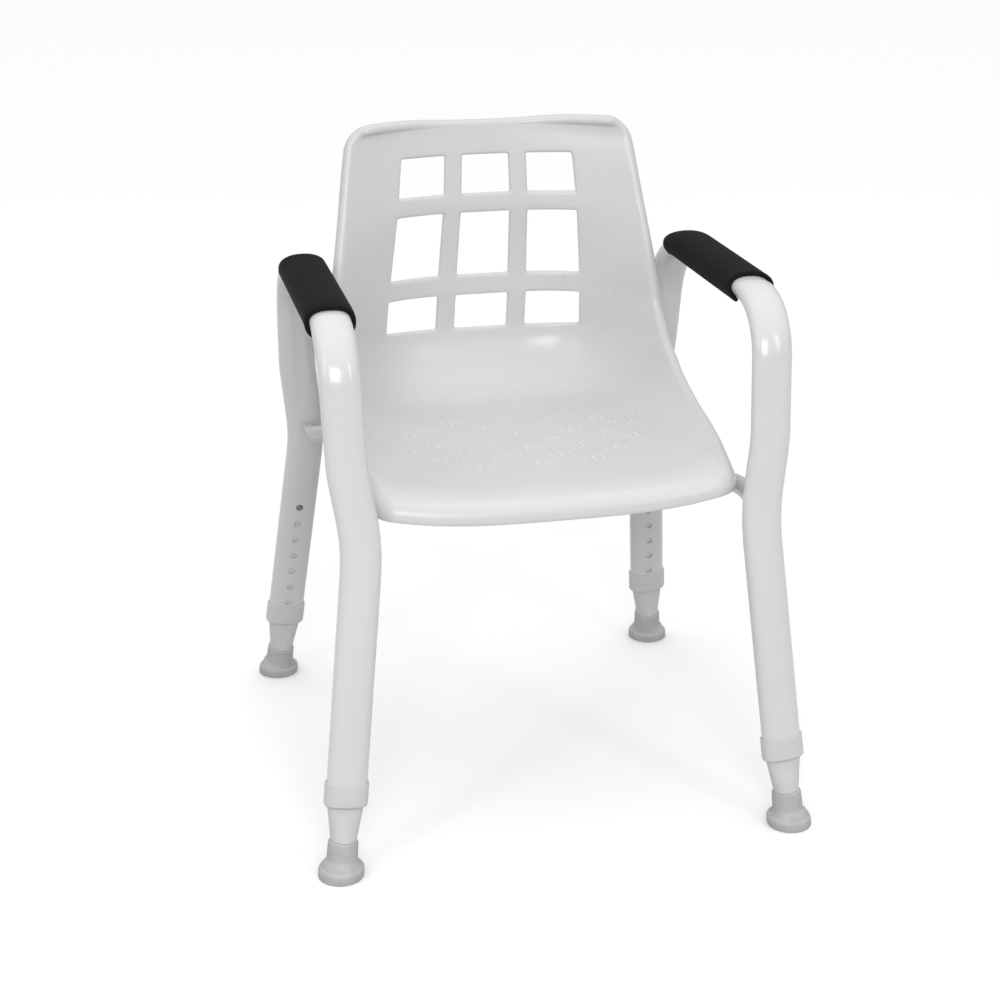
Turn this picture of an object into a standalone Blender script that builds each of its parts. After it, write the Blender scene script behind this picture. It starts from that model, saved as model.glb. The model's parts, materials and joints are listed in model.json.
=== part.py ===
"""Shower chair with arms: a white moulded seat on two bent oval-tube side frames, with four legs
that slide out of the frame and lock by snap buttons.

Metres, +Z up, the chair faces -Y and stands on z = 0, with the origin between its four feet.
"""

import math

import bmesh
import bpy
from mathutils import Matrix, Vector

# ---------------------------------------------------------------- driving dimensions
GAP = 0.0003                      # between pieces that touch

# Overall
SEAT_HEIGHT = 0.4155              # top of the flat seat, legs at their lowest hole
SEAT_HALF_WIDTH = 0.2137          # to the outside of the rolled edge
ARM_RISE = 0.1990                 # seat top to the centre line of the arm tube

# Feet and leg splay
FOOT_Y = 0.280                    # feet in front of and behind the origin
FRONT_SPLAY = math.radians(5.91)  # outward, towards the floor
REAR_SPLAY = math.radians(5.85)
FRONT_RAKE = math.radians(6.23)   # forward, towards the floor
REAR_RAKE = math.radians(12.72)   # rearward, towards the floor

# Side frame: heights from the seat top, widths from the seat's edge
FRONT_WAIST_DROP = 0.0355
REAR_WAIST_DROP = 0.0485
WAIST_OUTSET = 0.0150             # tube centre line outside the seat's edge at the front waist
REAR_WAIST_OUTSET = 0.0121
FRONT_KNEE_RISE = 0.0475
REAR_KNEE_RISE = 0.0485
FRONT_KNEE_OUTSET = 0.0281
REAR_KNEE_OUTSET = 0.0234
FRONT_ARM_OUTSET = 0.0325
REAR_ARM_OUTSET = 0.0268
FRONT_ARM_Y = -0.2022             # where the front leg's line meets the arm's line
REAR_ARM_Y = 0.1575
WAIST_RADIUS = 0.240
KNEE_RADIUS = 0.200
FRONT_ARM_RADIUS = 0.072
REAR_ARM_RADIUS = 0.100

# Oval tube
OVAL_WIDTH = 0.0460
OVAL_DEPTH = 0.0250
OVAL_WALL = 0.0018
OVAL_POWER = 2.3                  # 2 is an ellipse, more is flatter on its sides
TUBE_SIDES = 16
WAIST_STEPS = 2                   # sections in each bend
BEND_STEPS = 7

# Legs that slide in the frame
LEG_PLAY = 0.0007                 # between the leg tube and the frame tube
LEG_WALL = 0.0015
LEG_TOP_ABOVE_BUTTON = 0.030
BUTTON_HEIGHT = 0.2644            # of the uppermost hole, above the floor
HOLE_PITCH = 0.025
HOLE_COUNT = 7
HOLE_RADIUS = 0.0045
BUTTON_RADIUS = 0.0040
BUTTON_PROUD = 0.0016             # beyond the frame tube
BUTTON_FLANGE_RADIUS = 0.0055
BUTTON_FLANGE = 0.0012
BUTTON_BEHIND_WALL = 0.0005       # flange to the leg tube's inner wall
BUTTON_SIDES = 12

# Spring clip behind the button
CLIP_WIDTH = 0.0090
CLIP_THICKNESS = 0.0008
CLIP_BELOW_BUTTON = 0.018
CLIP_ABOVE_BUTTON = 0.022
CLIP_STAND_OFF = 0.0005           # from the leg tube's walls

# Collar at the lower end of the frame tube
COLLAR_BOTTOM = 0.0831            # above the floor
COLLAR_LENGTH = 0.0288
COLLAR_WALL = 0.0020
COLLAR_LIP = 0.0030
COLLAR_CHAMFER = 0.0010

# Foot plug and rubber ferrule
STOP_CLEARANCE = 0.0008           # collar to the plug's shoulder at the lowest hole
PLUG_SPIGOT = 0.022
PLUG_NECK_RADIUS = 0.0148
STEM_RADIUS = 0.0108
FERRULE_RADIUS = 0.0260
FERRULE_FLANGE = 0.0155
FERRULE_NECK_RADIUS = 0.0178
FERRULE_TOP = 0.0435
FERRULE_SOLE = 0.0130             # rubber under the stem
FERRULE_EDGE = 0.0016
ROUND_SIDES = 16

# Tubes under the seat
CROSS_RADIUS = 0.0110
CROSS_WALL = 0.0015
CROSS_SIDES = 12
FRONT_CROSS_DROP = 0.0275         # centre line below the seat top
FRONT_CROSS_SETBACK = 0.092       # from the leg's rear face to the tube's lateral run
FRONT_CROSS_BEND = 0.045
REAR_CROSS_DROP = 0.0425
REAR_CROSS_OVERHANG = 0.006       # past the leg's centre line
RAIL_RADIUS = 0.0095
RAIL_X = 0.110
RAIL_OVERHANG = 0.014             # behind the rear cross tube

# Saddles and screws that hold the seat
SADDLE_LENGTH = 0.032
SADDLE_WIDTH = 0.026
SADDLE_FRONT_Y = -0.085
SADDLE_REAR_Y = 0.070
SADDLE_HUG = 0.006                # how far the saddle's cheeks come down beside the rail
SADDLE_CROWN = 0.0035             # above the rail
SCREW_RADIUS = 0.0021
SCREW_HEAD_RADIUS = 0.0045
SCREW_HEAD = 0.0028
SCREW_CLEARANCE = 0.0004
SCREW_DEPTH_IN_BOSS = 0.0060
BOSS_RADIUS = 0.0080

# Seat shell
SHELL_WALL = 0.0040
SIDE_ROLL = 0.0075                # radius of the rolled edge
ROLL_REACH = 1.63                 # how far the rolled edge reaches out, in such radii
FRONT_ROLL = 0.0200
TOP_ROLL = 0.0060
ROLL_STEPS = 4
SKIRT = 0.0050                    # straight part after the roll
SKIRT_TURN_LOW = 0.040            # above the seat: from here up the skirt turns from down to rearward
SKIRT_TURN_HIGH = 0.120
FRONT_CORNER = 0.0130             # corner radii seen from above and from behind
TOP_CORNER = 0.0200
WINDOW_MIDDLE = 0.168             # window edges, as shares of the half width
WINDOW_INNER = 0.293
WINDOW_OUTER = 0.615

# Arm pads
PAD_THICKNESS = 0.0055
PAD_FRONT_STEPS = 2               # how far round the front bend the pad reaches, of BEND_STEPS
PAD_REAR_STEPS = 3
PAD_END_SLANT = 0.7               # slant of the pad's ends, of one step
PAD_OPENING = 2                   # half of the gap under the arm, in sides of the tube

# ---------------------------------------------------------------- finishes
FINISHES = {
    "powder_coat_white": ((0.80, 0.80, 0.79), 0.28, 0.0),
    "polypropylene_white": ((0.82, 0.82, 0.81), 0.32, 0.0),
    "collar_plastic_white": ((0.78, 0.78, 0.77), 0.42, 0.0),
    "plug_plastic_white": ((0.74, 0.74, 0.73), 0.45, 0.0),
    "ferrule_rubber_grey": ((0.55, 0.56, 0.55), 0.75, 0.0),
    "pad_vinyl_black": ((0.014, 0.014, 0.015), 0.62, 0.0),
    "zinc_steel": ((0.55, 0.55, 0.56), 0.35, 1.0),
    "saddle_plastic_grey": ((0.45, 0.45, 0.46), 0.5, 0.0),
}


def finish(name):
    """The material of this name, made once."""
    material = bpy.data.materials.get(name)
    if material:
        return material
    colour, roughness, metallic = FINISHES[name]
    material = bpy.data.materials.new(name)
    material.use_nodes = True
    shader = material.node_tree.nodes["Principled BSDF"]
    shader.inputs["Base Color"].default_value = (*colour, 1.0)
    shader.inputs["Roughness"].default_value = roughness
    shader.inputs["Metallic"].default_value = metallic
    return material


# ---------------------------------------------------------------- building blocks
def clear_scene():
    for old in list(bpy.data.objects):
        bpy.data.objects.remove(old, do_unlink=True)


def to_object(bm, name, finish_name, parent=None):
    """Turns a bmesh into a named object with one finish, smooth except at its sharp edges."""
    bmesh.ops.recalc_face_normals(bm, faces=bm.faces)
    mesh = bpy.data.meshes.new(name)
    bm.to_mesh(mesh)
    bm.free()
    mesh.shade_smooth()
    mesh.set_sharp_from_angle(angle=math.radians(35))
    piece = bpy.data.objects.new(name, mesh)
    piece.data.materials.append(finish(finish_name))
    piece.parent = parent
    bpy.context.scene.collection.objects.link(piece)
    return piece


def cutter(bm, name):
    """A shape that only cuts or joins: hidden from the render and drawn as wire."""
    shape = to_object(bm, name, "saddle_plastic_grey")
    shape.hide_render = True
    shape.display_type = "WIRE"
    return shape


def boolean(piece, other, operation):
    step = piece.modifiers.new(operation.title(), "BOOLEAN")
    step.operation = operation
    step.solver = "EXACT"
    step.object = other


def oval_point(turn, half_width, half_depth, power=OVAL_POWER):
    """A point of a flat-sided oval; the turn runs from +width towards +depth."""
    across, along = math.cos(turn), math.sin(turn)
    return (
        half_width * math.copysign(abs(across) ** (2 / power), across),
        half_depth * math.copysign(abs(along) ** (2 / power), along),
    )


def ring(bm, place, half_width, half_depth, sides=TUBE_SIDES, power=OVAL_POWER):
    """A loop of vertices in the XY plane of a placing matrix."""
    loop = []
    for step in range(sides):
        x, y = oval_point(math.tau * step / sides, half_width, half_depth, power)
        loop.append(bm.verts.new(place @ Vector((x, y, 0.0))))
    return loop


def disc(bm, height, radius, sides=ROUND_SIDES, place=Matrix.Identity(4)):
    return ring(bm, place @ Matrix.Translation((0, 0, height)), radius, radius, sides, 2.0)


def loft(bm, rings, closed=False):
    """Skins a row of equal rings; a closed row comes back to its first ring, else the ends are capped."""
    pairs = list(zip(rings[:-1], rings[1:]))
    if closed:
        pairs.append((rings[-1], rings[0]))
    for low, high in pairs:
        for k in range(len(low)):
            n = (k + 1) % len(low)
            bm.faces.new((low[k], low[n], high[n], high[k]))
    if not closed:
        bm.faces.new(list(reversed(rings[0])))
        bm.faces.new(rings[-1])


def frame_along(tangent, lateral=Vector((1, 0, 0))):
    """Width and depth directions of a section: width stays as lateral as the tangent allows."""
    width = (lateral - tangent * lateral.dot(tangent)).normalized()
    return width, tangent.cross(width)


def section_matrix(centre, tangent, lateral=Vector((1, 0, 0))):
    width, depth = frame_along(tangent, lateral)
    turn = Matrix((width, depth, tangent)).transposed().to_4x4()
    return Matrix.Translation(centre) @ turn


def rounded_path(corners, radii, steps):
    """A polyline whose inner corners are replaced by arcs of the given radii."""
    path = [corners[0]]
    for before, corner, after, radius, count in zip(corners, corners[1:], corners[2:], radii, steps):
        back = (before - corner).normalized()
        ahead = (after - corner).normalized()
        half = back.angle(ahead) / 2
        reach = radius / math.tan(half)
        middle = corner + (back + ahead).normalized() * radius / math.sin(half)
        start = corner + back * reach - middle
        end = corner + ahead * reach - middle
        sweep = start.angle(end)
        for k in range(count + 1):
            share = k / count
            arm = start * math.sin((1 - share) * sweep) + end * math.sin(share * sweep)
            path.append(middle + arm / math.sin(sweep))
    path.append(corners[-1])
    return path


def tangents(path):
    found = []
    for k, point in enumerate(path):
        behind = (point - path[k - 1]).normalized() if k else Vector()
        ahead = (path[k + 1] - point).normalized() if k + 1 < len(path) else Vector()
        found.append((behind + ahead).normalized())
    return found


def hollow_tube(
    bm, path, half_width, half_depth, wall, sides=TUBE_SIDES, power=OVAL_POWER, lateral=Vector((1, 0, 0))
):
    places = [section_matrix(p, t, lateral) for p, t in zip(path, tangents(path))]
    outer = [ring(bm, m, half_width, half_depth, sides, power) for m in places]
    inner = [ring(bm, m, half_width - wall, half_depth - wall, sides, power) for m in places]
    loft(bm, outer + inner[::-1], closed=True)


def solid_bar(bm, path, half_width, half_depth, sides=TUBE_SIDES, power=OVAL_POWER):
    places = [section_matrix(p, t) for p, t in zip(path, tangents(path))]
    loft(bm, [ring(bm, m, half_width, half_depth, sides, power) for m in places])


def cylinder(bm, start, end, radius, sides=ROUND_SIDES):
    axis = (end - start).normalized()
    side = Vector((1, 0, 0)) if abs(axis.x) < 0.9 else Vector((0, 1, 0))
    places = [section_matrix(p, axis, side) for p in (start, end)]
    loft(bm, [ring(bm, m, radius, radius, sides, 2.0) for m in places])


# ---------------------------------------------------------------- where the legs stand
CORNERS = {"front_left": (-1, -1), "front_right": (1, -1), "rear_left": (-1, 1), "rear_right": (1, 1)}
FRONT_WAIST_Z = SEAT_HEIGHT - FRONT_WAIST_DROP
REAR_WAIST_Z = SEAT_HEIGHT - REAR_WAIST_DROP
FRONT_FOOT_X = SEAT_HALF_WIDTH + WAIST_OUTSET + FRONT_WAIST_Z * math.tan(FRONT_SPLAY)
REAR_FOOT_X = SEAT_HALF_WIDTH + REAR_WAIST_OUTSET + REAR_WAIST_Z * math.tan(REAR_SPLAY)
LEG_HALF_WIDTH = OVAL_WIDTH / 2 - OVAL_WALL - LEG_PLAY
LEG_HALF_DEPTH = OVAL_DEPTH / 2 - OVAL_WALL - LEG_PLAY


def foot_point(side, end):
    return Vector((side * (FRONT_FOOT_X if end < 0 else REAR_FOOT_X), end * FOOT_Y, 0.0))


def leg_direction(side, end):
    """Up along the straight lower leg."""
    splay = FRONT_SPLAY if end < 0 else REAR_SPLAY
    rake = FRONT_RAKE if end < 0 else REAR_RAKE
    return Vector((-side * math.tan(splay), -end * math.tan(rake), 1.0)).normalized()


def leg_matrix(side, end):
    """The leg's own frame: Z up its axis, X its wide direction, origin where the axis meets the floor."""
    return section_matrix(foot_point(side, end), leg_direction(side, end))


def along_leg(side, end, height):
    """The distance along the leg's axis at which it is at this height above the floor."""
    return height / leg_direction(side, end).z


def leg_empty(name, side, end):
    empty = bpy.data.objects.new(name, None)
    empty.matrix_world = leg_matrix(side, end)
    bpy.context.scene.collection.objects.link(empty)
    return empty


# ---------------------------------------------------------------- side frames
def frame_corners(side):
    """Corner points of one side frame's centre line, from the front leg's end to the rear leg's end."""
    arm_z = SEAT_HEIGHT + ARM_RISE
    edge = SEAT_HALF_WIDTH
    ends = []
    for end in (-1, 1):
        start = along_leg(side, end, COLLAR_BOTTOM) + COLLAR_LIP + GAP
        ends.append(foot_point(side, end) + leg_direction(side, end) * start)
    waists = []
    for end, height in ((-1, FRONT_WAIST_Z), (1, REAR_WAIST_Z)):
        waists.append(foot_point(side, end) + leg_direction(side, end) * along_leg(side, end, height))
    front_arm = Vector((side * (edge + FRONT_ARM_OUTSET), FRONT_ARM_Y, arm_z))
    rear_arm = Vector((side * (edge + REAR_ARM_OUTSET), REAR_ARM_Y, arm_z))
    knees = []
    for waist, arm, rise, outset in (
        (waists[0], front_arm, FRONT_KNEE_RISE, FRONT_KNEE_OUTSET),
        (waists[1], rear_arm, REAR_KNEE_RISE, REAR_KNEE_OUTSET),
    ):
        height = SEAT_HEIGHT + rise
        share = (height - waist.z) / (arm.z - waist.z)
        knees.append(Vector((side * (edge + outset), waist.y + (arm.y - waist.y) * share, height)))
    return [ends[0], waists[0], knees[0], front_arm, rear_arm, knees[1], waists[1], ends[1]]


def frame_path(side):
    radii = (WAIST_RADIUS, KNEE_RADIUS, FRONT_ARM_RADIUS, REAR_ARM_RADIUS, KNEE_RADIUS, WAIST_RADIUS)
    steps = (WAIST_STEPS, WAIST_STEPS, BEND_STEPS, BEND_STEPS, WAIST_STEPS, WAIST_STEPS)
    return rounded_path(frame_corners(side), radii, steps)


def hole_heights(side, end):
    """Distances up the leg of the row of holes, the uppermost first."""
    top = along_leg(side, end, BUTTON_HEIGHT)
    return [top - HOLE_PITCH * k for k in range(HOLE_COUNT)]


def hole_cutter(name, side, end, heights, reach):
    """Round cutters through the one face that the buttons come out of."""
    place = leg_matrix(side, end)
    bm = bmesh.new()
    for height in heights:
        start = place @ Vector((0, 0, height))
        finish_point = place @ Vector((0, -end * reach, height))
        cylinder(bm, start, finish_point, HOLE_RADIUS, BUTTON_SIDES)
    return cutter(bm, name)


def side_frame(name, side):
    bm = bmesh.new()
    hollow_tube(bm, frame_path(side), OVAL_WIDTH / 2, OVAL_DEPTH / 2, OVAL_WALL)
    piece = to_object(bm, name, "powder_coat_white")
    for end, word in ((-1, "front"), (1, "rear")):
        holes = hole_cutter(f"{name}_{word}_holes", side, end, hole_heights(side, end), OVAL_DEPTH)
        boolean(piece, holes, "DIFFERENCE")
    return piece


# ---------------------------------------------------------------- tubes under the seat
def leg_point_at(side, end, height):
    """The side frame's centre line at a height near the seat."""
    path = frame_path(side)
    half = len(path) // 2
    run = path[:half] if end < 0 else path[half:][::-1]
    for low, high in zip(run, run[1:]):
        if low.z <= height <= high.z:
            return low.lerp(high, (height - low.z) / (high.z - low.z))
    raise ValueError("the height is off the leg")


def leg_cutter(name):
    """Both front legs, a gap larger than they are, to cope what is welded to them."""
    bm = bmesh.new()
    for side in (-1, 1):
        corners = frame_corners(side)
        path = rounded_path(corners[:4], (WAIST_RADIUS, KNEE_RADIUS), (WAIST_STEPS, WAIST_STEPS))
        solid_bar(bm, path, OVAL_WIDTH / 2 + GAP, OVAL_DEPTH / 2 + GAP)
    return cutter(bm, name)


def front_cross_height():
    return SEAT_HEIGHT - FRONT_CROSS_DROP


def front_cross_y():
    leg = leg_point_at(1, -1, front_cross_height())
    return leg.y + OVAL_DEPTH / 2 + FRONT_CROSS_SETBACK


def front_cross_tube():
    """A U in plan: from one front leg back, across under the seat, and forward to the other."""
    height = front_cross_height()
    run_y = front_cross_y()
    corners = []
    for side in (-1, 1):
        leg = leg_point_at(side, -1, height)
        pair = [Vector((leg.x, leg.y, height)), Vector((leg.x, run_y, height))]
        corners += pair if side < 0 else pair[::-1]
    path = rounded_path(corners, (FRONT_CROSS_BEND, FRONT_CROSS_BEND), (5, 5))
    bm = bmesh.new()
    hollow_tube(bm, path, CROSS_RADIUS, CROSS_RADIUS, CROSS_WALL, CROSS_SIDES, 2.0, Vector((0, 0, 1)))
    piece = to_object(bm, "front_cross_tube", "powder_coat_white")
    boolean(piece, leg_cutter("front_leg_copes"), "DIFFERENCE")
    return piece


def rear_cross_height():
    return SEAT_HEIGHT - REAR_CROSS_DROP


def rear_cross_y():
    """The tube lies against the front faces of the raked rear legs."""
    leg = leg_point_at(1, 1, rear_cross_height())
    lean = 1 / math.cos(REAR_RAKE)
    return leg.y - (OVAL_DEPTH / 2 + CROSS_RADIUS + GAP) * lean


def rear_cross_tube():
    height = rear_cross_height()
    reach = leg_point_at(1, 1, height).x + REAR_CROSS_OVERHANG
    path = [Vector((side * reach, rear_cross_y(), height)) for side in (-1, 1)]
    bm = bmesh.new()
    hollow_tube(bm, path, CROSS_RADIUS, CROSS_RADIUS, CROSS_WALL, CROSS_SIDES, 2.0, Vector((0, 0, 1)))
    return to_object(bm, "rear_cross_tube", "powder_coat_white")


def rail_height():
    """The rails lie on the rear cross tube."""
    return rear_cross_height() + CROSS_RADIUS + RAIL_RADIUS + GAP


def seat_rail(name, side):
    height = rail_height()
    start = front_cross_y() + CROSS_RADIUS + GAP
    end = rear_cross_y() + CROSS_RADIUS + RAIL_OVERHANG
    path = [Vector((side * RAIL_X, y, height)) for y in (start, end)]
    bm = bmesh.new()
    hollow_tube(bm, path, RAIL_RADIUS, RAIL_RADIUS, CROSS_WALL, CROSS_SIDES, 2.0)
    piece = to_object(bm, name, "powder_coat_white")
    bm = bmesh.new()
    for y in (SADDLE_FRONT_Y, SADDLE_REAR_Y):
        low = Vector((side * RAIL_X, y, height - 2 * RAIL_RADIUS))
        high = Vector((side * RAIL_X, y, height + 2 * RAIL_RADIUS))
        cylinder(bm, low, high, SCREW_RADIUS + SCREW_CLEARANCE, BUTTON_SIDES)
    boolean(piece, cutter(bm, f"{name}_screw_holes"), "DIFFERENCE")
    return piece


# ---------------------------------------------------------------- seat shell
# The shell's cross-sections from its front edge to the top of its back. The middle of the section
# and its rim are given as (y, height above the seat top); then how much narrower each side is there
# than the seat, and the power with which the side turns up.
STATIONS = (
    (-0.2160, -0.0030, -0.2085, 0.0070, 0.0000, 3.0),   # 0  front edge
    (-0.1920, 0.0000, -0.1810, 0.0155, 0.0000, 3.8),
    (-0.1300, 0.0000, -0.1120, 0.0300, 0.0000, 4.2),
    (-0.0400, 0.0000, -0.0500, 0.0420, 0.0000, 4.3),
    (0.0500, 0.0000, 0.0030, 0.0570, 0.0002, 4.2),      # 4  the seat is all but flat up to here
    (0.1040, 0.0000, 0.0280, 0.0675, 0.0004, 4.1),
    (0.1365, 0.0065, 0.0430, 0.0745, 0.0008, 4.0),
    (0.1641, 0.0249, 0.0525, 0.0800, 0.0013, 3.9),
    (0.1825, 0.0525, 0.0600, 0.0850, 0.0018, 3.8),
    (0.1870, 0.0795, 0.0700, 0.0940, 0.0022, 3.8),      # 9  bottom windows
    (0.1775, 0.1265, 0.0880, 0.1265, 0.0055, 3.4),      # 10
    (0.1745, 0.1515, 0.0912, 0.1515, 0.0082, 3.1),      # 11 middle windows
    (0.1665, 0.1950, 0.0980, 0.1950, 0.0142, 2.8),
    (0.1580, 0.2365, 0.1070, 0.2365, 0.0197, 2.45),     # 13
    (0.1560, 0.2591, 0.1130, 0.2591, 0.0225, 2.3),      # 14 top windows
    (0.1590, 0.3080, 0.1245, 0.3080, 0.0292, 2.1),      # 15
    (0.1633, 0.3435, 0.1330, 0.3413, 0.0350, 2.1),      # 16 top edge
)
WINDOW_ROWS = ((9, 10), (11, 13), (14, 15))
ROWS = (0, 0.1, 0.3, 0.6, 1, 1.5, 2, 3, 4, 5, 6, 7, 8, 9, 10, 11, 12, 13, 14, 15, 15.55, 15.8, 15.95, 16)
COLUMNS = (0.0, WINDOW_MIDDLE, WINDOW_INNER, 0.45, WINDOW_OUTER, 0.68, 0.76, 0.84, 0.92, 1.0)


def section_at(row):
    """The cross-section at a station or between two, on a smooth curve through them all."""
    low = min(int(row), len(STATIONS) - 2)
    share = row - low
    before, start, end, after = (STATIONS[min(max(low + k, 0), len(STATIONS) - 1)] for k in (-1, 0, 1, 2))
    return [
        b + (c - a) * share / 2
        + (2 * a - 5 * b + 4 * c - d) * share ** 2 / 2
        + (3 * b - a - 3 * c + d) * share ** 3 / 2
        for a, b, c, d in zip(before, start, end, after)
    ]


def corner_inset(from_end, radius):
    """How far a rounded corner takes the edge in, at a distance from the end of the shell."""
    left = max(0.0, radius - from_end)
    return radius - math.sqrt(radius ** 2 - left ** 2)


def front_corner(section):
    return corner_inset(section[0] - STATIONS[0][0], FRONT_CORNER)


def shell_half_width(section):
    """Half width inside the rolled edge, less near the rounded front and top corners."""
    corner = front_corner(section) + corner_inset(STATIONS[-1][1] - section[1], TOP_CORNER)
    return SEAT_HALF_WIDTH - section[4] - ROLL_REACH * SIDE_ROLL - corner


def shell_point(section, share):
    """A point of the shell's upper face: the section, and the share of the way out to its rim."""
    middle_y, middle_z, rim_y, rim_z, inset, power = section
    half_width = shell_half_width(section)
    lift = abs(share * half_width / (half_width + front_corner(section))) ** power
    return Vector((
        share * half_width,
        middle_y + (rim_y - middle_y) * lift,
        SEAT_HEIGHT + middle_z + (rim_z - middle_z) * lift,
    ))


def shell_face(bm):
    """The bare upper face, with its nine windows left out. Returns its vertices row by row."""
    shares = [-c for c in COLUMNS[:0:-1]] + list(COLUMNS)
    rows = [[bm.verts.new(shell_point(section_at(row), share)) for share in shares] for row in ROWS]
    for j in range(len(rows) - 1):
        in_row = any(first <= ROWS[j] < last for first, last in WINDOW_ROWS)
        for i in range(len(shares) - 1):
            centre = abs(shares[i] + shares[i + 1]) / 2
            in_column = centre < WINDOW_MIDDLE or WINDOW_INNER < centre < WINDOW_OUTER
            if not (in_row and in_column):
                bm.faces.new((rows[j][i], rows[j][i + 1], rows[j + 1][i + 1], rows[j + 1][i]))
    return rows


def roll_radius(point, run):
    """The edge's radius: large along the front lip, small along the sides, blended round the corners."""
    end_roll = FRONT_ROLL if point.z < SEAT_HEIGHT + SKIRT_TURN_LOW else TOP_ROLL
    return SIDE_ROLL + (end_roll - SIDE_ROLL) * abs(run.x)


def skirt_direction(point):
    """Where the rolled edge ends up pointing: down round the seat, rearward round the back."""
    share = (point.z - SEAT_HEIGHT - SKIRT_TURN_LOW) / (SKIRT_TURN_HIGH - SKIRT_TURN_LOW)
    share = min(1.0, max(0.0, share))
    return Vector((0.0, share, share - 1.0))


def roll_edge(bm, rows):
    """Rolls the outer edge over and back, and ends it in a short skirt."""
    right = [row[-1] for row in rows]
    left = [row[0] for row in rows]
    border = rows[0] + right[1:] + rows[-1][-2::-1] + left[-2:0:-1]
    count = len(border)
    bm.normal_update()
    rolls = []
    for k, vertex in enumerate(border):
        ahead = border[(k + 1) % count].co - vertex.co
        behind = vertex.co - border[k - 1].co
        run = (ahead.normalized() + behind.normalized()).normalized()
        out = run.cross(vertex.normal).normalized()
        under = -vertex.normal
        skirt = skirt_direction(vertex.co)
        turn = math.atan2(skirt.dot(under), skirt.dot(out))
        rolls.append((vertex.co.copy(), out, under, turn, roll_radius(vertex.co, run)))
    last = border
    for step in range(1, ROLL_STEPS + 2):
        fresh = []
        for start, out, under, turn, radius in rolls:
            angle = turn * min(step, ROLL_STEPS) / ROLL_STEPS
            place = start + out * radius * math.sin(angle) + under * radius * (1 - math.cos(angle))
            if step > ROLL_STEPS:
                place += (out * math.cos(turn) + under * math.sin(turn)) * SKIRT
            fresh.append(bm.verts.new(place))
        for k in range(count):
            n = (k + 1) % count
            bm.faces.new((last[k], fresh[k], fresh[n], last[n]))
        last = fresh


def boss_centres():
    return [Vector((side * RAIL_X, y, 0)) for side in (-1, 1) for y in (SADDLE_FRONT_Y, SADDLE_REAR_Y)]


def saddle_top():
    return rail_height() + RAIL_RADIUS + SADDLE_CROWN


def seat_surface(x, y):
    """Height of the seat's upper face over a point of its flat part."""
    for low, high in zip(STATIONS, STATIONS[1:]):
        if low[0] <= y <= high[0]:
            share = (y - low[0]) / (high[0] - low[0])
            heights = [shell_point(s, x / shell_half_width(s)).z for s in (low, high)]
            return heights[0] + (heights[1] - heights[0]) * share
    raise ValueError("the point is off the seat")


def seat_shell():
    bm = bmesh.new()
    rows = shell_face(bm)
    roll_edge(bm, rows)
    piece = to_object(bm, "seat_shell", "polypropylene_white")
    wall = piece.modifiers.new("Wall", "SOLIDIFY")
    wall.thickness = SHELL_WALL
    wall.offset = -1.0
    wall.use_even_offset = True
    bosses = bmesh.new()
    bores = bmesh.new()
    for centre in boss_centres():
        low = Vector((centre.x, centre.y, saddle_top() + GAP))
        high = Vector((centre.x, centre.y, seat_surface(centre.x, centre.y) - SHELL_WALL / 2))
        cylinder(bosses, low, high, BOSS_RADIUS, BUTTON_SIDES)
        bore_top = low.z + SCREW_DEPTH_IN_BOSS + SCREW_CLEARANCE
        below = Vector((low.x, low.y, low.z - BOSS_RADIUS))
        cylinder(bores, below, Vector((low.x, low.y, bore_top)), SCREW_RADIUS + SCREW_CLEARANCE, BUTTON_SIDES)
    boolean(piece, cutter(bosses, "seat_bosses"), "UNION")
    boolean(piece, cutter(bores, "seat_boss_bores"), "DIFFERENCE")
    return piece


# ---------------------------------------------------------------- saddles and screws
def saddle(name, centre):
    """A block on the rail, hollowed to fit it, with the screw's hole down its middle."""
    height = rail_height()
    base = height + RAIL_RADIUS - SADDLE_HUG
    bm = bmesh.new()
    middle = Vector((centre.x, centre.y, (base + saddle_top()) / 2))
    size = Vector((SADDLE_WIDTH, SADDLE_LENGTH, saddle_top() - base))
    bmesh.ops.create_cube(bm, size=1.0, matrix=Matrix.Translation(middle) @ Matrix.Diagonal((*size, 1)))
    piece = to_object(bm, name, "saddle_plastic_grey")
    bm = bmesh.new()
    start = Vector((centre.x, centre.y - SADDLE_LENGTH, height))
    cylinder(bm, start, start + Vector((0, 2 * SADDLE_LENGTH, 0)), RAIL_RADIUS + GAP, CROSS_SIDES)
    boolean(piece, cutter(bm, f"{name}_rail_groove"), "DIFFERENCE")
    bm = bmesh.new()
    low = Vector((centre.x, centre.y, height))
    cylinder(bm, low, low + Vector((0, 0, 4 * RAIL_RADIUS)), SCREW_RADIUS + SCREW_CLEARANCE, BUTTON_SIDES)
    boolean(piece, cutter(bm, f"{name}_screw_hole"), "DIFFERENCE")
    return piece


def seat_screw(name, centre):
    """Pan head under the rail, shank up through rail and saddle into the seat's boss."""
    head_top = rail_height() - RAIL_RADIUS - GAP
    tip = saddle_top() + GAP + SCREW_DEPTH_IN_BOSS
    edge = SCREW_HEAD_RADIUS * 0.8
    place = Matrix.Translation((centre.x, centre.y, 0))
    bm = bmesh.new()
    loft(bm, [
        disc(bm, head_top - SCREW_HEAD, edge, BUTTON_SIDES, place),
        disc(bm, head_top - SCREW_HEAD * 0.5, SCREW_HEAD_RADIUS, BUTTON_SIDES, place),
        disc(bm, head_top, SCREW_HEAD_RADIUS, BUTTON_SIDES, place),
        disc(bm, head_top, SCREW_RADIUS, BUTTON_SIDES, place),
        disc(bm, tip - SCREW_RADIUS, SCREW_RADIUS, BUTTON_SIDES, place),
        disc(bm, tip, SCREW_RADIUS * 0.3, BUTTON_SIDES, place),
    ])
    return to_object(bm, name, "zinc_steel")


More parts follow.
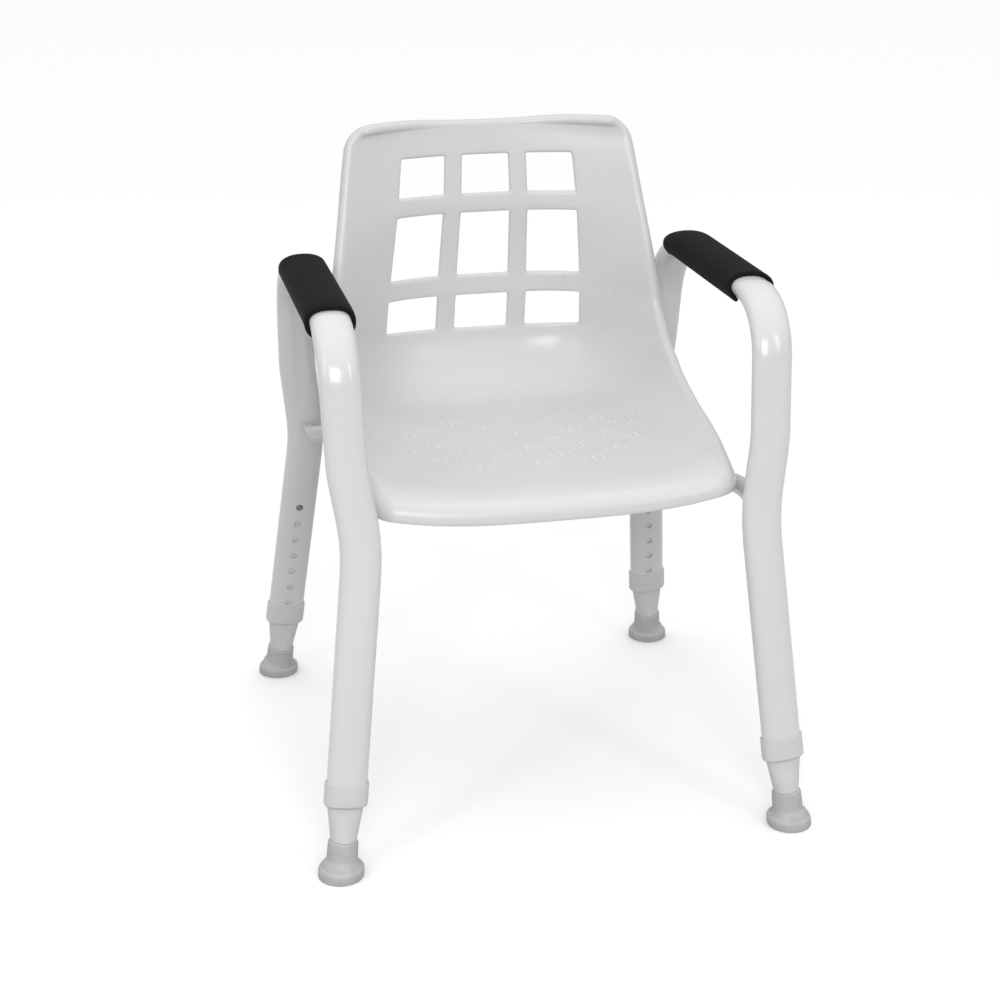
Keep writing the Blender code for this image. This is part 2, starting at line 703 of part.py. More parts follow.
# ---------------------------------------------------------------- arm pads
def pad_section(centre, tangent):
    """Points round the pad, outside and then back inside, open underneath; and how low each lies, -1 to 1."""
    first = TUBE_SIDES // 4 + PAD_OPENING
    edges = range(first, first + TUBE_SIDES - 2 * PAD_OPENING + 1)
    width, depth = frame_along(tangent)
    points = []
    for grow, order in ((PAD_THICKNESS, edges), (GAP, reversed(edges))):
        for step in order:
            turn = math.tau * step / TUBE_SIDES
            x, y = oval_point(turn, OVAL_WIDTH / 2 + grow, OVAL_DEPTH / 2 + grow)
            points.append((centre + width * x + depth * y, 2 * y / OVAL_DEPTH))
    return points


def arm_pad(name, side):
    """A sleeve over the arm and part of both bends, whose ends are cut on the slant, short on top."""
    path = frame_path(side)
    arm_start = 2 * (WAIST_STEPS + 1) + BEND_STEPS + 1
    covered = slice(arm_start - PAD_FRONT_STEPS, arm_start + 2 + PAD_REAR_STEPS)
    sections = [pad_section(*place) for place in list(zip(path, tangents(path)))[covered]]
    loops = [[point for point, low in section] for section in sections]
    for outer, inner in ((0, 1), (-1, -2)):
        pairs = zip(sections[outer], sections[inner])
        loops[outer] = [far.lerp(near, (1 - PAD_END_SLANT * low) / 2) for (far, low), (near, low) in pairs]
    bm = bmesh.new()
    loft(bm, [[bm.verts.new(point) for point in loop] for loop in loops])
    return to_object(bm, name, "pad_vinyl_black")


# ---------------------------------------------------------------- collars, legs and feet
def collar(corner, side, end):
    """A sleeve over the frame tube's end, with a lip under it that guides the leg tube."""
    low = along_leg(side, end, COLLAR_BOTTOM)
    high = low + COLLAR_LENGTH
    shelf = low + COLLAR_LIP
    outside = OVAL_WIDTH / 2 + COLLAR_WALL, OVAL_DEPTH / 2 + COLLAR_WALL
    on_tube = OVAL_WIDTH / 2 + GAP, OVAL_DEPTH / 2 + GAP
    guide = LEG_HALF_WIDTH + GAP, LEG_HALF_DEPTH + GAP
    profile = [
        (low, outside, -COLLAR_CHAMFER), (low + COLLAR_CHAMFER, outside, 0.0),
        (high - COLLAR_CHAMFER, outside, 0.0), (high, outside, -COLLAR_CHAMFER),
        (high, on_tube, 0.0), (shelf, on_tube, 0.0), (shelf, guide, 0.0), (low, guide, 0.0),
    ]
    bm = bmesh.new()
    place = leg_matrix(side, end)
    loft(bm, [
        ring(bm, place @ Matrix.Translation((0, 0, height)), size[0] + grow, size[1] + grow)
        for height, size, grow in profile
    ], closed=True)
    return to_object(bm, f"leg_collar_{corner}", "collar_plastic_white")


def plug_shoulder(side, end):
    return along_leg(side, end, COLLAR_BOTTOM) - STOP_CLEARANCE


def leg_tube(corner, side, end, parent):
    """The oval tube that slides in the frame, with one hole for its button."""
    low = plug_shoulder(side, end) + GAP
    button = along_leg(side, end, BUTTON_HEIGHT)
    path = [Vector((0, 0, low)), Vector((0, 0, button + LEG_TOP_ABOVE_BUTTON))]
    bm = bmesh.new()
    hollow_tube(bm, path, LEG_HALF_WIDTH, LEG_HALF_DEPTH, LEG_WALL)
    piece = to_object(bm, f"leg_tube_{corner}", "powder_coat_white", parent)
    boolean(piece, hole_cutter(f"leg_tube_{corner}_hole", side, end, [button], OVAL_DEPTH), "DIFFERENCE")
    return piece


def foot_plug(corner, side, end, parent):
    """Stem in the ferrule, a taper from round to the tube's oval, and a spigot in the tube."""
    shoulder = plug_shoulder(side, end)
    neck = FERRULE_TOP + GAP
    spigot = LEG_HALF_WIDTH - LEG_WALL - GAP, LEG_HALF_DEPTH - LEG_WALL - GAP
    bm = bmesh.new()
    rings = [
        ring(bm, Matrix.Translation((0, 0, h)), r, r, TUBE_SIDES, 2.0)
        for h, r in ((FERRULE_SOLE + 2 * GAP, STEM_RADIUS), (neck, STEM_RADIUS))
    ]
    for share in (0.0, 0.35, 0.7, 1.0):
        width = PLUG_NECK_RADIUS + (LEG_HALF_WIDTH - PLUG_NECK_RADIUS) * share
        depth = PLUG_NECK_RADIUS + (LEG_HALF_DEPTH - PLUG_NECK_RADIUS) * share
        power = 2.0 + (OVAL_POWER - 2.0) * share
        height = neck + (shoulder - neck) * share
        rings.append(ring(bm, Matrix.Translation((0, 0, height)), width, depth, TUBE_SIDES, power))
    for height in (shoulder, shoulder + PLUG_SPIGOT):
        rings.append(ring(bm, Matrix.Translation((0, 0, height)), *spigot))
    loft(bm, rings)
    return to_object(bm, f"foot_plug_{corner}", "plug_plastic_white", parent)


def ferrule(corner, side, end, parent):
    """A rubber foot: its sole lies level on the floor and its neck leans with the leg."""
    to_leg = leg_matrix(side, end).inverted()
    up = leg_direction(side, end)
    foot = foot_point(side, end)
    bm = bmesh.new()
    rings = []
    for height, radius in (
        (0.0, FERRULE_RADIUS - FERRULE_EDGE), (FERRULE_EDGE, FERRULE_RADIUS),
        (FERRULE_FLANGE * 0.6, FERRULE_RADIUS), (FERRULE_FLANGE * 0.9, FERRULE_RADIUS - 2 * FERRULE_EDGE),
    ):
        centre = foot + up * (height / up.z)
        rings.append(ring(bm, to_leg @ Matrix.Translation(centre), radius, radius, ROUND_SIDES, 2.0))
    for height, radius in (
        (FERRULE_FLANGE + 0.006, FERRULE_NECK_RADIUS), (FERRULE_TOP - 0.003, FERRULE_NECK_RADIUS - 0.0006),
        (FERRULE_TOP, FERRULE_NECK_RADIUS - 0.0026), (FERRULE_TOP, STEM_RADIUS + GAP),
        (FERRULE_SOLE + GAP, STEM_RADIUS + GAP),
    ):
        rings.append(disc(bm, height, radius))
    loft(bm, rings)
    return to_object(bm, f"foot_ferrule_{corner}", "ferrule_rubber_grey", parent)


def spring_clip(corner, side, end, parent):
    """A strip folded over like a hairpin: one leaf lies on the far wall, the other ends above the button."""
    button = along_leg(side, end, BUTTON_HEIGHT)
    face = -end
    inner = LEG_HALF_DEPTH - LEG_WALL
    far = -face * (inner - CLIP_STAND_OFF - CLIP_THICKNESS / 2 - BUTTON_BEHIND_WALL)
    near = -far
    top = button + CLIP_ABOVE_BUTTON
    leaf_end = button + BUTTON_FLANGE_RADIUS + 2 * GAP
    line = [Vector((0, far, button - CLIP_BELOW_BUTTON)), Vector((0, far, top))]
    for k in range(1, 6):
        turn = math.pi * k / 6
        line.append(Vector((0, far * math.cos(turn), top + abs(far) * math.sin(turn))))
    line += [Vector((0, near, top)), Vector((0, near, leaf_end))]
    bm = bmesh.new()
    rings = []
    for point, run in zip(line, tangents(line)):
        across = Vector((0, run.z, -run.y)) * CLIP_THICKNESS / 2
        out = Vector((CLIP_WIDTH / 2, 0, 0))
        corners = (across + out, across - out, -across - out, out - across)
        rings.append([bm.verts.new(point + corner) for corner in corners])
    loft(bm, rings)
    return to_object(bm, f"spring_clip_{corner}", "zinc_steel", parent)


def snap_button(corner, side, end, parent):
    """The round button: flange inside the leg tube, shank through both tubes, domed tip."""
    button = along_leg(side, end, BUTTON_HEIGHT)
    face = -end
    flange_face = LEG_HALF_DEPTH - LEG_WALL - BUTTON_BEHIND_WALL
    tip = OVAL_DEPTH / 2 + BUTTON_PROUD
    axis = bpy.data.objects.new(f"snap_button_axis_{corner}", None)
    axis.parent = parent
    axis.matrix_local = Matrix.Translation((0, 0, button)) @ Matrix.Rotation(-face * math.pi / 2, 4, "X")
    bpy.context.scene.collection.objects.link(axis)
    bm = bmesh.new()
    loft(bm, [
        disc(bm, flange_face - BUTTON_FLANGE, BUTTON_FLANGE_RADIUS, BUTTON_SIDES),
        disc(bm, flange_face, BUTTON_FLANGE_RADIUS, BUTTON_SIDES),
        disc(bm, flange_face, BUTTON_RADIUS, BUTTON_SIDES),
        disc(bm, tip - BUTTON_RADIUS * 0.45, BUTTON_RADIUS, BUTTON_SIDES),
        disc(bm, tip - BUTTON_RADIUS * 0.15, BUTTON_RADIUS * 0.75, BUTTON_SIDES),
        disc(bm, tip, BUTTON_RADIUS * 0.35, BUTTON_SIDES),
    ])
    return to_object(bm, f"snap_button_{corner}", "zinc_steel", axis)


# ---------------------------------------------------------------- the chair
def build():
    clear_scene()
    for name, side in (("left", -1), ("right", 1)):
        side_frame(f"{name}_side_frame", side)
        seat_rail(f"{name}_seat_rail", side)
        arm_pad(f"{name}_arm_pad", side)
    front_cross_tube()
    rear_cross_tube()
    seat_shell()
    for corner, (side, end) in CORNERS.items():
        centre = Vector((side * RAIL_X, SADDLE_FRONT_Y if end < 0 else SADDLE_REAR_Y, 0))
        saddle(f"seat_saddle_{corner}", centre)
        seat_screw(f"seat_screw_{corner}", centre)
        collar(corner, side, end)
        leg = leg_empty(f"leg_axis_{corner}", side, end)
        leg_tube(corner, side, end, leg)
        foot_plug(corner, side, end, leg)
        ferrule(corner, side, end, leg)
        spring_clip(corner, side, end, leg)
        snap_button(corner, side, end, leg)


build()
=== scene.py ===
# %% [markdown]
# # A shower chair with arms
#
# The chair is a white moulded shell on two bent oval tubes. Four legs slide out of the tubes and
# lock with snap buttons, and black sleeves cover the arms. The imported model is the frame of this
# scene: it says where every piece is and how the legs and buttons move. Here each plain solid is
# replaced by a finely made piece that rides on the same body.

# %% Load the frame
import json
import math

import bmesh
import bpy
from mathutils import Matrix, Vector


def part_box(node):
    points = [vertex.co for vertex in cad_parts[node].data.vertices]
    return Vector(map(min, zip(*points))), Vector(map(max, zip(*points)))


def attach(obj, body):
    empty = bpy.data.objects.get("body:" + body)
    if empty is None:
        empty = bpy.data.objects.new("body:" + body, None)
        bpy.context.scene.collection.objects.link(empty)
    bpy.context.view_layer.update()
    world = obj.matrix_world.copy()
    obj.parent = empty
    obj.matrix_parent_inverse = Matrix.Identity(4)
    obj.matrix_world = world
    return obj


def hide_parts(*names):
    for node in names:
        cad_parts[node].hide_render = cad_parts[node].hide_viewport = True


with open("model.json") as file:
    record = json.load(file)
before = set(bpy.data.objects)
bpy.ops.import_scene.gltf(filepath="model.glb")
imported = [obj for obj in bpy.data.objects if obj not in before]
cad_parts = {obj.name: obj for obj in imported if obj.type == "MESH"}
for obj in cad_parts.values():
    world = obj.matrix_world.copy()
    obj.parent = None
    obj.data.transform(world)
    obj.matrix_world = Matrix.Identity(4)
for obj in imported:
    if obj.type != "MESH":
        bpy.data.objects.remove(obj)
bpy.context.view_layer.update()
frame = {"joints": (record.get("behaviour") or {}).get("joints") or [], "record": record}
MM = 0.001

# %% [markdown]
# ## Camera, floor and light
#
# A catalogue picture of white goods is high-key: a white floor that runs up into a white surround, a
# large soft light above and in front, and two tall strip lights whose reflections run down the front
# tubes. The camera stands a little to the chair's left side and looks down on the seat.

# %% Camera
CAMERA_AIM = Vector((0.0, 0.077, 0.3005))
CAMERA_TURN = math.radians(-13.33)    # round from straight in front
CAMERA_HEIGHT = math.radians(20.41)   # looking down
CAMERA_ROLL = math.radians(0.14)
CAMERA_DISTANCE = 2.688
CAMERA_LENS = 76.8

scene = bpy.context.scene
camera = bpy.data.objects.new("camera", bpy.data.cameras.new("camera"))
camera.data.lens = CAMERA_LENS
camera.data.sensor_width = 36.0
outward = Vector((
    math.sin(CAMERA_TURN) * math.cos(CAMERA_HEIGHT),
    -math.cos(CAMERA_TURN) * math.cos(CAMERA_HEIGHT),
    math.sin(CAMERA_HEIGHT),
))
aim = (-outward).to_track_quat("-Z", "Y").to_matrix().to_4x4()
place = Matrix.Translation(CAMERA_AIM + outward * CAMERA_DISTANCE)
camera.matrix_world = place @ aim @ Matrix.Rotation(CAMERA_ROLL, 4, "Z")
scene.collection.objects.link(camera)
scene.camera = camera

# %% Light
def area_light(name, position, target, size, power):
    """A soft rectangular light that faces its target."""
    light = bpy.data.lights.new(name, "AREA")
    light.shape = "RECTANGLE"
    light.size, light.size_y = size
    light.energy = power
    lamp = bpy.data.objects.new(name, light)
    facing = (Vector(target) - Vector(position)).to_track_quat("-Z", "Y").to_matrix().to_4x4()
    lamp.matrix_world = Matrix.Translation(position) @ facing
    scene.collection.objects.link(lamp)


area_light("front_key", (-0.6, -3.2, 1.75), (0, 0, 0.35), (1.6, 1.2), 42)
area_light("left_strip", (-1.9, -1.6, 1.7), (0, 0, 0.5), (0.3, 1.4), 5)
area_light("right_strip", (1.3, -2.3, 1.7), (0, 0, 0.4), (0.3, 1.0), 5)

# %% Surround
SKY_STARTS = 0.2         # as the sine of the height above the horizon: even and dim below this
SKY_BELOW = 0.44
SKY_OVERHEAD = 1.36


def add_node(owner, kind, settings=None, **links):
    """A node of a material or world: its attributes or sockets by name, and links into its sockets."""
    node = owner.node_tree.nodes.new(kind)
    for name, value in (settings or {}).items():
        if hasattr(node, name):
            setattr(node, name, value)
        else:
            node.inputs[name].default_value = value
    for name, source in links.items():
        owner.node_tree.links.new(source, node.inputs[name])
    return node


world = bpy.data.worlds.new("studio_surround")
world.use_nodes = True
surround = world.node_tree.nodes["Background"]
surround.inputs["Color"].default_value = (1.0, 1.0, 1.0, 1.0)
direction = add_node(world, "ShaderNodeTexCoord")
parts = add_node(world, "ShaderNodeSeparateXYZ", Vector=direction.outputs["Generated"])
levels = {"From Min": SKY_STARTS, "To Min": SKY_BELOW, "To Max": SKY_OVERHEAD}
brightness = add_node(world, "ShaderNodeMapRange", levels, Value=parts.outputs["Z"])
world.node_tree.links.new(brightness.outputs["Result"], surround.inputs["Strength"])
scene.world = world
scene.view_settings.view_transform = "Standard"

# %% [markdown]
# ## Finishes
#
# Every material starts from what the real one is. Colours are sRGB hex values that one function
# turns to linear. Patterns read Object coordinates in metres, so that a grain of half a millimetre is
# half a millimetre on every piece.


# %% Material helpers
def linear(hex_colour):
    """An sRGB hex value as a linear colour with alpha."""
    channels = [int(hex_colour[k:k + 2], 16) / 255 for k in (1, 3, 5)]
    spread = [c / 12.92 if c <= 0.04045 else ((c + 0.055) / 1.055) ** 2.4 for c in channels]
    return (*spread, 1.0)


def new_material(name, colour, roughness, metallic=0.0, ior=1.5, coat=0.0):
    """A surface with even values, to which patterns are then added."""
    material = bpy.data.materials.new(name)
    material.use_nodes = True
    shader = material.node_tree.nodes["Principled BSDF"]
    shader.inputs["Base Color"].default_value = linear(colour)
    shader.inputs["Roughness"].default_value = roughness
    shader.inputs["Metallic"].default_value = metallic
    shader.inputs["IOR"].default_value = ior
    shader.inputs["Coat Weight"].default_value = coat
    return material


def noise_of(material, grain, detail):
    """Noise whose blotches have a real size in metres."""
    where = add_node(material, "ShaderNodeTexCoord")
    settings = {"Scale": 1 / grain, "Detail": detail}
    return add_node(material, "ShaderNodeTexNoise", settings, Vector=where.outputs["Object"])


def shade_patches(material, light, dark, grain, smooth, rough):
    """Mixes two close shades, and two roughness values, in soft patches."""
    shader = material.node_tree.nodes["Principled BSDF"]
    noise = noise_of(material, grain, 1.0)
    shades = add_node(material, "ShaderNodeValToRGB", Fac=noise.outputs["Fac"])
    shades.color_ramp.interpolation = "EASE"
    for stop, place, colour in zip(shades.color_ramp.elements, (0.2, 0.8), (dark, light)):
        stop.position = place
        stop.color = linear(colour)
    levels = {"From Min": 0.1, "From Max": 0.9, "To Min": smooth, "To Max": rough}
    gloss = add_node(material, "ShaderNodeMapRange", levels, Value=noise.outputs["Fac"])
    material.node_tree.links.new(shades.outputs["Color"], shader.inputs["Base Color"])
    material.node_tree.links.new(gloss.outputs["Result"], shader.inputs["Roughness"])


def surface_relief(material, grain, depth, detail=2.0):
    """Fine bumps of a real size and depth, both in metres."""
    shader = material.node_tree.nodes["Principled BSDF"]
    noise = noise_of(material, grain, detail)
    settings = {"Strength": 0.6, "Distance": depth}
    bump = add_node(material, "ShaderNodeBump", settings, Height=noise.outputs["Fac"])
    material.node_tree.links.new(bump.outputs["Normal"], shader.inputs["Normal"])


# %% [markdown]
# ### White powder coat
#
# The tubes are steel with a baked polyester powder. It melts to a hard gloss that keeps a faint
# orange peel: waves a few millimetres long and a few microns deep, which wobble the edges of the
# reflections.

# %% Powder coat
powder_coat = new_material("polyester_powder_coat_white", "#D3D3D2", 0.2, coat=0.3)
shade_patches(powder_coat, "#D3D3D2", "#D2D2D1", 60 * MM, 0.19, 0.21)
surface_relief(powder_coat, 3.5 * MM, 0.02 * MM)

# %% [markdown]
# ### Moulded polypropylene
#
# The shell is injection-moulded polypropylene with a satin mould finish, waxier than the tubes. Its
# shade and gloss wander slightly over the width of a hand, because the melt cools unevenly.

# %% Polypropylene
polypropylene = new_material("moulded_polypropylene_white", "#CFCFCF", 0.26, ior=1.49)
shade_patches(polypropylene, "#D0D0D0", "#CFCFCF", 90 * MM, 0.26, 0.28)
surface_relief(polypropylene, 1.2 * MM, 0.01 * MM)

# %% [markdown]
# ### Collars, plugs, ferrules and saddles
#
# The collars and plugs are moulded polyethylene, matt beside the tubes. The ferrules are grey-white
# thermoplastic rubber, dull with a trace of dirt near the floor, and the saddles are plain grey nylon.

# %% Leg plastics
collar_plastic = new_material("moulded_polyethylene_white", "#CFCFCE", 0.42, ior=1.51)
shade_patches(collar_plastic, "#D1D1D0", "#CCCCCB", 25 * MM, 0.38, 0.5)
surface_relief(collar_plastic, 0.8 * MM, 0.012 * MM)

plug_plastic = new_material("moulded_polyethylene_plug", "#CBCBCA", 0.45, ior=1.51)
shade_patches(plug_plastic, "#CDCDCC", "#C8C8C7", 20 * MM, 0.4, 0.52)
surface_relief(plug_plastic, 0.8 * MM, 0.012 * MM)

ferrule_rubber = new_material("thermoplastic_rubber_grey", "#B4B4B3", 0.68, ior=1.48)
shade_patches(ferrule_rubber, "#B7B7B6", "#AEAEAC", 14 * MM, 0.62, 0.78)
surface_relief(ferrule_rubber, 0.6 * MM, 0.03 * MM, detail=4.0)

saddle_nylon = new_material("moulded_nylon_grey", "#B4B5B6", 0.5, ior=1.53)
shade_patches(saddle_nylon, "#B8B9BA", "#AEAFB0", 12 * MM, 0.45, 0.58)
surface_relief(saddle_nylon, 0.7 * MM, 0.015 * MM)

# %% [markdown]
# ### Black arm sleeve
#
# The sleeves are extruded soft PVC: near black and matt, with a fine leather-like grain that keeps
# the skin from sticking.

# %% Arm sleeve
sleeve_vinyl = new_material("extruded_soft_vinyl_black", "#0A0A0B", 0.85, ior=1.3)
shade_patches(sleeve_vinyl, "#0B0B0C", "#090909", 9 * MM, 0.82, 0.9)
surface_relief(sleeve_vinyl, 0.9 * MM, 0.05 * MM, detail=5.0)

# %% [markdown]
# ### Zinc-plated steel
#
# Buttons, clips and screws are zinc-plated: a grey metal whose passivation leaves cloudy patches.

# %% Plated steel
plated_steel = new_material("zinc_plated_steel", "#77777A", 0.3, metallic=1.0)
shade_patches(plated_steel, "#808083", "#6A6A6D", 4 * MM, 0.24, 0.4)
surface_relief(plated_steel, 0.35 * MM, 0.008 * MM)

# %% [markdown]
# ### Floor
#
# A white seamless floor, painted matt. Soft light from it would fill every underside, so only its
# reflection reaches the chair.

# %% Floor
FLOOR_HALF_SIZE = 30.0
floor_mesh = bmesh.new()
bmesh.ops.create_grid(floor_mesh, x_segments=1, y_segments=1, size=FLOOR_HALF_SIZE)
floor = bpy.data.objects.new("studio_floor", bpy.data.meshes.new("studio_floor"))
floor_mesh.to_mesh(floor.data)
floor_mesh.free()
floor.data.materials.append(new_material("seamless_floor_white", "#FFFFFF", 0.85))
scene.collection.objects.link(floor)
floor.visible_diffuse = False

# %% [markdown]
# ## Tools for pieces
#
# A finished piece is one mesh whose place is in its vertices. Tubes are rings that are skinned in a
# row, point to point, because an automatic bridge may pair an oval's points a half turn out. A hole
# is cut by a Boolean that is applied at once, so that no cutter is left behind.

# %% Piece helpers
SHARP = math.radians(32)


def mesh_of(bm, name, closed=True):
    """The bmesh as a mesh. A closed shape's faces all point outward, which its signed volume tells."""
    bmesh.ops.recalc_face_normals(bm, faces=bm.faces)
    if closed and bm.calc_volume(signed=True) < 0:
        bmesh.ops.reverse_faces(bm, faces=bm.faces)
    mesh = bpy.data.meshes.new(name)
    bm.to_mesh(mesh)
    bm.free()
    return mesh


def finish_piece(bm, name, material, body, *nodes, modifiers=(), closed=True):
    """Makes a piece of a bmesh, applies its modifiers, and lets it ride on a body in its nodes' place."""
    piece = bpy.data.objects.new(name, mesh_of(bm, name, closed))
    scene.collection.objects.link(piece)
    for kind, settings in modifiers:
        step = piece.modifiers.new(kind.title(), kind)
        for key, value in settings.items():
            setattr(step, key, value)
    if modifiers:
        view = piece.evaluated_get(bpy.context.evaluated_depsgraph_get())
        piece.data = bpy.data.meshes.new_from_object(view)
        piece.modifiers.clear()
        for kind, settings in modifiers:
            if kind == "BOOLEAN":
                bpy.data.objects.remove(settings["object"], do_unlink=True)
    piece.data.name = name
    piece.data.materials.clear()
    piece.data.materials.append(material)
    piece.data.shade_smooth()
    piece.data.set_sharp_from_angle(angle=SHARP)
    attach(piece, body)
    if nodes:
        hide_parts(*nodes)
    return piece


def cutting(bm, operation="DIFFERENCE"):
    """A Boolean step whose other shape is this bmesh."""
    shape = bpy.data.objects.new("cutter", mesh_of(bm, "cutter"))
    scene.collection.objects.link(shape)
    return "BOOLEAN", {"operation": operation, "solver": "MANIFOLD", "object": shape}


def edges_of(verts):
    """The edges that run between vertices of a group, in the same order on every run."""
    group = set(verts)
    found = (edge for vert in verts for edge in vert.link_edges if edge.other_vert(vert) in group)
    return list(dict.fromkeys(found))


def ring(bm, place, half_width, half_depth, sides, power=2.0):
    """A closed loop round a flat-sided oval in a placing matrix's XY plane. A power of 2 is an ellipse."""
    loop = bmesh.ops.create_circle(bm, segments=sides, radius=1.0)["verts"]
    for vert in loop:
        x = half_width * math.copysign(abs(vert.co.x) ** (2 / power), vert.co.x)
        y = half_depth * math.copysign(abs(vert.co.y) ** (2 / power), vert.co.y)
        vert.co = place @ Vector((x, y, 0.0))
    return loop


def bridge(bm, rings, closed=False):
    """Skins a row of rings. A closed row comes back to its first ring, or else both ends are capped."""
    pairs = list(zip(rings, rings[1:]))
    if closed:
        pairs.append((rings[-1], rings[0]))
    for low, high in pairs:
        for k, vert in enumerate(low):
            after = (k + 1) % len(low)
            bm.faces.new((vert, low[after], high[after], high[k]))
    if not closed:
        for end in (rings[0], rings[-1]):
            bmesh.ops.edgeloop_fill(bm, edges=edges_of(end))


RIGHT = Vector((1, 0, 0))


def section_place(centre, tangent, lateral=RIGHT):
    """Where a section stands: Z along the tube, X as lateral as the tube allows."""
    width = (lateral - tangent * lateral.dot(tangent)).normalized()
    turn = Matrix((width, tangent.cross(width), tangent)).transposed().to_4x4()
    return Matrix.Translation(centre) @ turn


def along_path(path, lateral=RIGHT):
    """A section's place at each point of a path."""
    places = []
    for k, point in enumerate(path):
        behind = (point - path[k - 1]).normalized() if k else Vector()
        ahead = (path[k + 1] - point).normalized() if k + 1 < len(path) else Vector()
        places.append(section_place(point, (behind + ahead).normalized(), lateral))
    return places


def round_bar(bm, start, end, radius, sides=24):
    """A capped cylinder between two points."""
    axis = (end - start).normalized()
    bridge(bm, [ring(bm, section_place(point, axis), radius, radius, sides) for point in (start, end)])


def raised(place, height):
    """The same section, further up its own axis."""
    return place @ Matrix.Translation((0, 0, height))


def loft(profile, place, sides, power=2.0, closed=False):
    """A shape of rings from (height, half width, half depth) stations up a section's axis."""
    bm = bmesh.new()
    rings = [ring(bm, raised(place, height), width, depth, sides, power) for height, width, depth in profile]
    bridge(bm, rings, closed)
    return bm


def quarter(steps, count):
    """The first few turns of a quarter circle that is cut into a number of steps."""
    return [math.pi / 2 * step / steps for step in range(count)]


def rounded_path(corners, radii, straight, turn):
    """A polyline with arcs for its inner corners, cut into steps: a length on straights, an angle on arcs."""
    stops = [corners[0]]
    for before, corner, after, radius in zip(corners, corners[1:], corners[2:], radii):
        back = (before - corner).normalized()
        ahead = (after - corner).normalized()
        half = back.angle(ahead) / 2
        reach = radius / math.tan(half)
        middle = corner + (back + ahead).normalized() * radius / math.sin(half)
        start = corner + back * reach - middle
        end = corner + ahead * reach - middle
        sweep = start.angle(end)
        stops += straight_steps(stops[-1], middle + start, straight)
        count = max(2, math.ceil(sweep / turn))
        for k in range(1, count + 1):
            share = k / count
            arm = start * math.sin((1 - share) * sweep) + end * math.sin(share * sweep)
            stops.append(middle + arm / math.sin(sweep))
    return stops + straight_steps(stops[-1], corners[-1], straight)


def straight_steps(start, end, step):
    """The points from just after a start to an end, no further apart than a step."""
    count = max(1, math.ceil((end - start).length / step))
    return [start.lerp(end, k / count) for k in range(1, count + 1)]


# %% [markdown]
# ## Where the legs stand
#
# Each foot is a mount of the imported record, and each leg slides along its joint's axis. So the
# oval leg's own place follows from the record: Z up the leg, X across its wide side.

# %% Legs' places
CORNERS = {"front_left": (-1, -1), "front_right": (1, -1), "rear_left": (-1, 1), "rear_right": (1, 1)}
joints = {joint["name"]: joint for joint in frame["joints"]}
mounts = {mount["name"]: mount for mount in frame["record"]["mounts"]}
foot_point = {corner: Vector(mounts[f"foot_{corner}"]["pos_m"]) for corner in CORNERS}
leg_up = {corner: -Vector(joints[f"leg_{corner}_slide"]["axis"]).normalized() for corner in CORNERS}
leg_place = {corner: section_place(foot_point[corner], leg_up[corner]) for corner in CORNERS}


def along_leg(corner, height):
    """The distance up the leg's axis at which it is this high above the floor."""
    return height / leg_up[corner].z


print("feet:", {corner: tuple(round(c, 3) for c in point) for corner, point in foot_point.items()})

# %% [markdown]
# ## Side frames
#
# One oval tube, 46 by 25 mm, makes front leg, arm and rear leg. It is bent in a press: two tight
# bends at the arm and two slight ones in each leg, so that the legs splay below the seat. The tube
# is swept as rings along a path of straights and arcs, with an inner wall, and its row of
# adjusting holes is cut through one face.

# %% Side frame sizes
GAP = 0.3 * MM
SEAT_TOP = 0.4155
SEAT_HALF_WIDTH = 0.2137
ARM_HEIGHT = SEAT_TOP + 0.1990
FRONT_WAIST_HEIGHT = SEAT_TOP - 0.0355
REAR_WAIST_HEIGHT = SEAT_TOP - 0.0485
FRONT_KNEE = (SEAT_HALF_WIDTH + 0.0281, SEAT_TOP + 0.0475)     # distance out, height
REAR_KNEE = (SEAT_HALF_WIDTH + 0.0234, SEAT_TOP + 0.0485)
FRONT_ARM = (SEAT_HALF_WIDTH + 0.0325, -0.2022)                # distance out, y
REAR_ARM = (SEAT_HALF_WIDTH + 0.0268, 0.1575)
WAIST_RADIUS = 0.240
KNEE_RADIUS = 0.200
FRONT_ARM_RADIUS = 0.072
REAR_ARM_RADIUS = 0.100
OVAL_HALF_WIDTH = 23.0 * MM
OVAL_HALF_DEPTH = 12.5 * MM
OVAL_WALL = 1.8 * MM
OVAL_POWER = 2.3
OVAL_SIDES = 48
COLLAR_BOTTOM = 0.0831
COLLAR_LIP = 3 * MM
COLLAR_LENGTH = 28.8 * MM
BUTTON_HEIGHT = 0.2644
HOLE_PITCH = 25 * MM
HOLE_COUNT = 7
HOLE_RADIUS = 4.5 * MM


# %% Side frame path
def frame_corners(side):
    """Corner points of the tube's centre line, from the front leg's end to the rear leg's end."""
    front, rear = ("front_left", "rear_left") if side < 0 else ("front_right", "rear_right")
    ends, waists = [], []
    for corner, waist_height in ((front, FRONT_WAIST_HEIGHT), (rear, REAR_WAIST_HEIGHT)):
        start = along_leg(corner, COLLAR_BOTTOM) + COLLAR_LIP + GAP
        ends.append(foot_point[corner] + leg_up[corner] * start)
        waists.append(foot_point[corner] + leg_up[corner] * along_leg(corner, waist_height))
    arms = [Vector((side * out, y, ARM_HEIGHT)) for out, y in (FRONT_ARM, REAR_ARM)]
    knees = []
    for waist, arm, (out, height) in zip(waists, arms, (FRONT_KNEE, REAR_KNEE)):
        share = (height - waist.z) / (ARM_HEIGHT - waist.z)
        knees.append(Vector((side * out, waist.y + (arm.y - waist.y) * share, height)))
    return [ends[0], waists[0], knees[0], arms[0], arms[1], knees[1], waists[1], ends[1]]


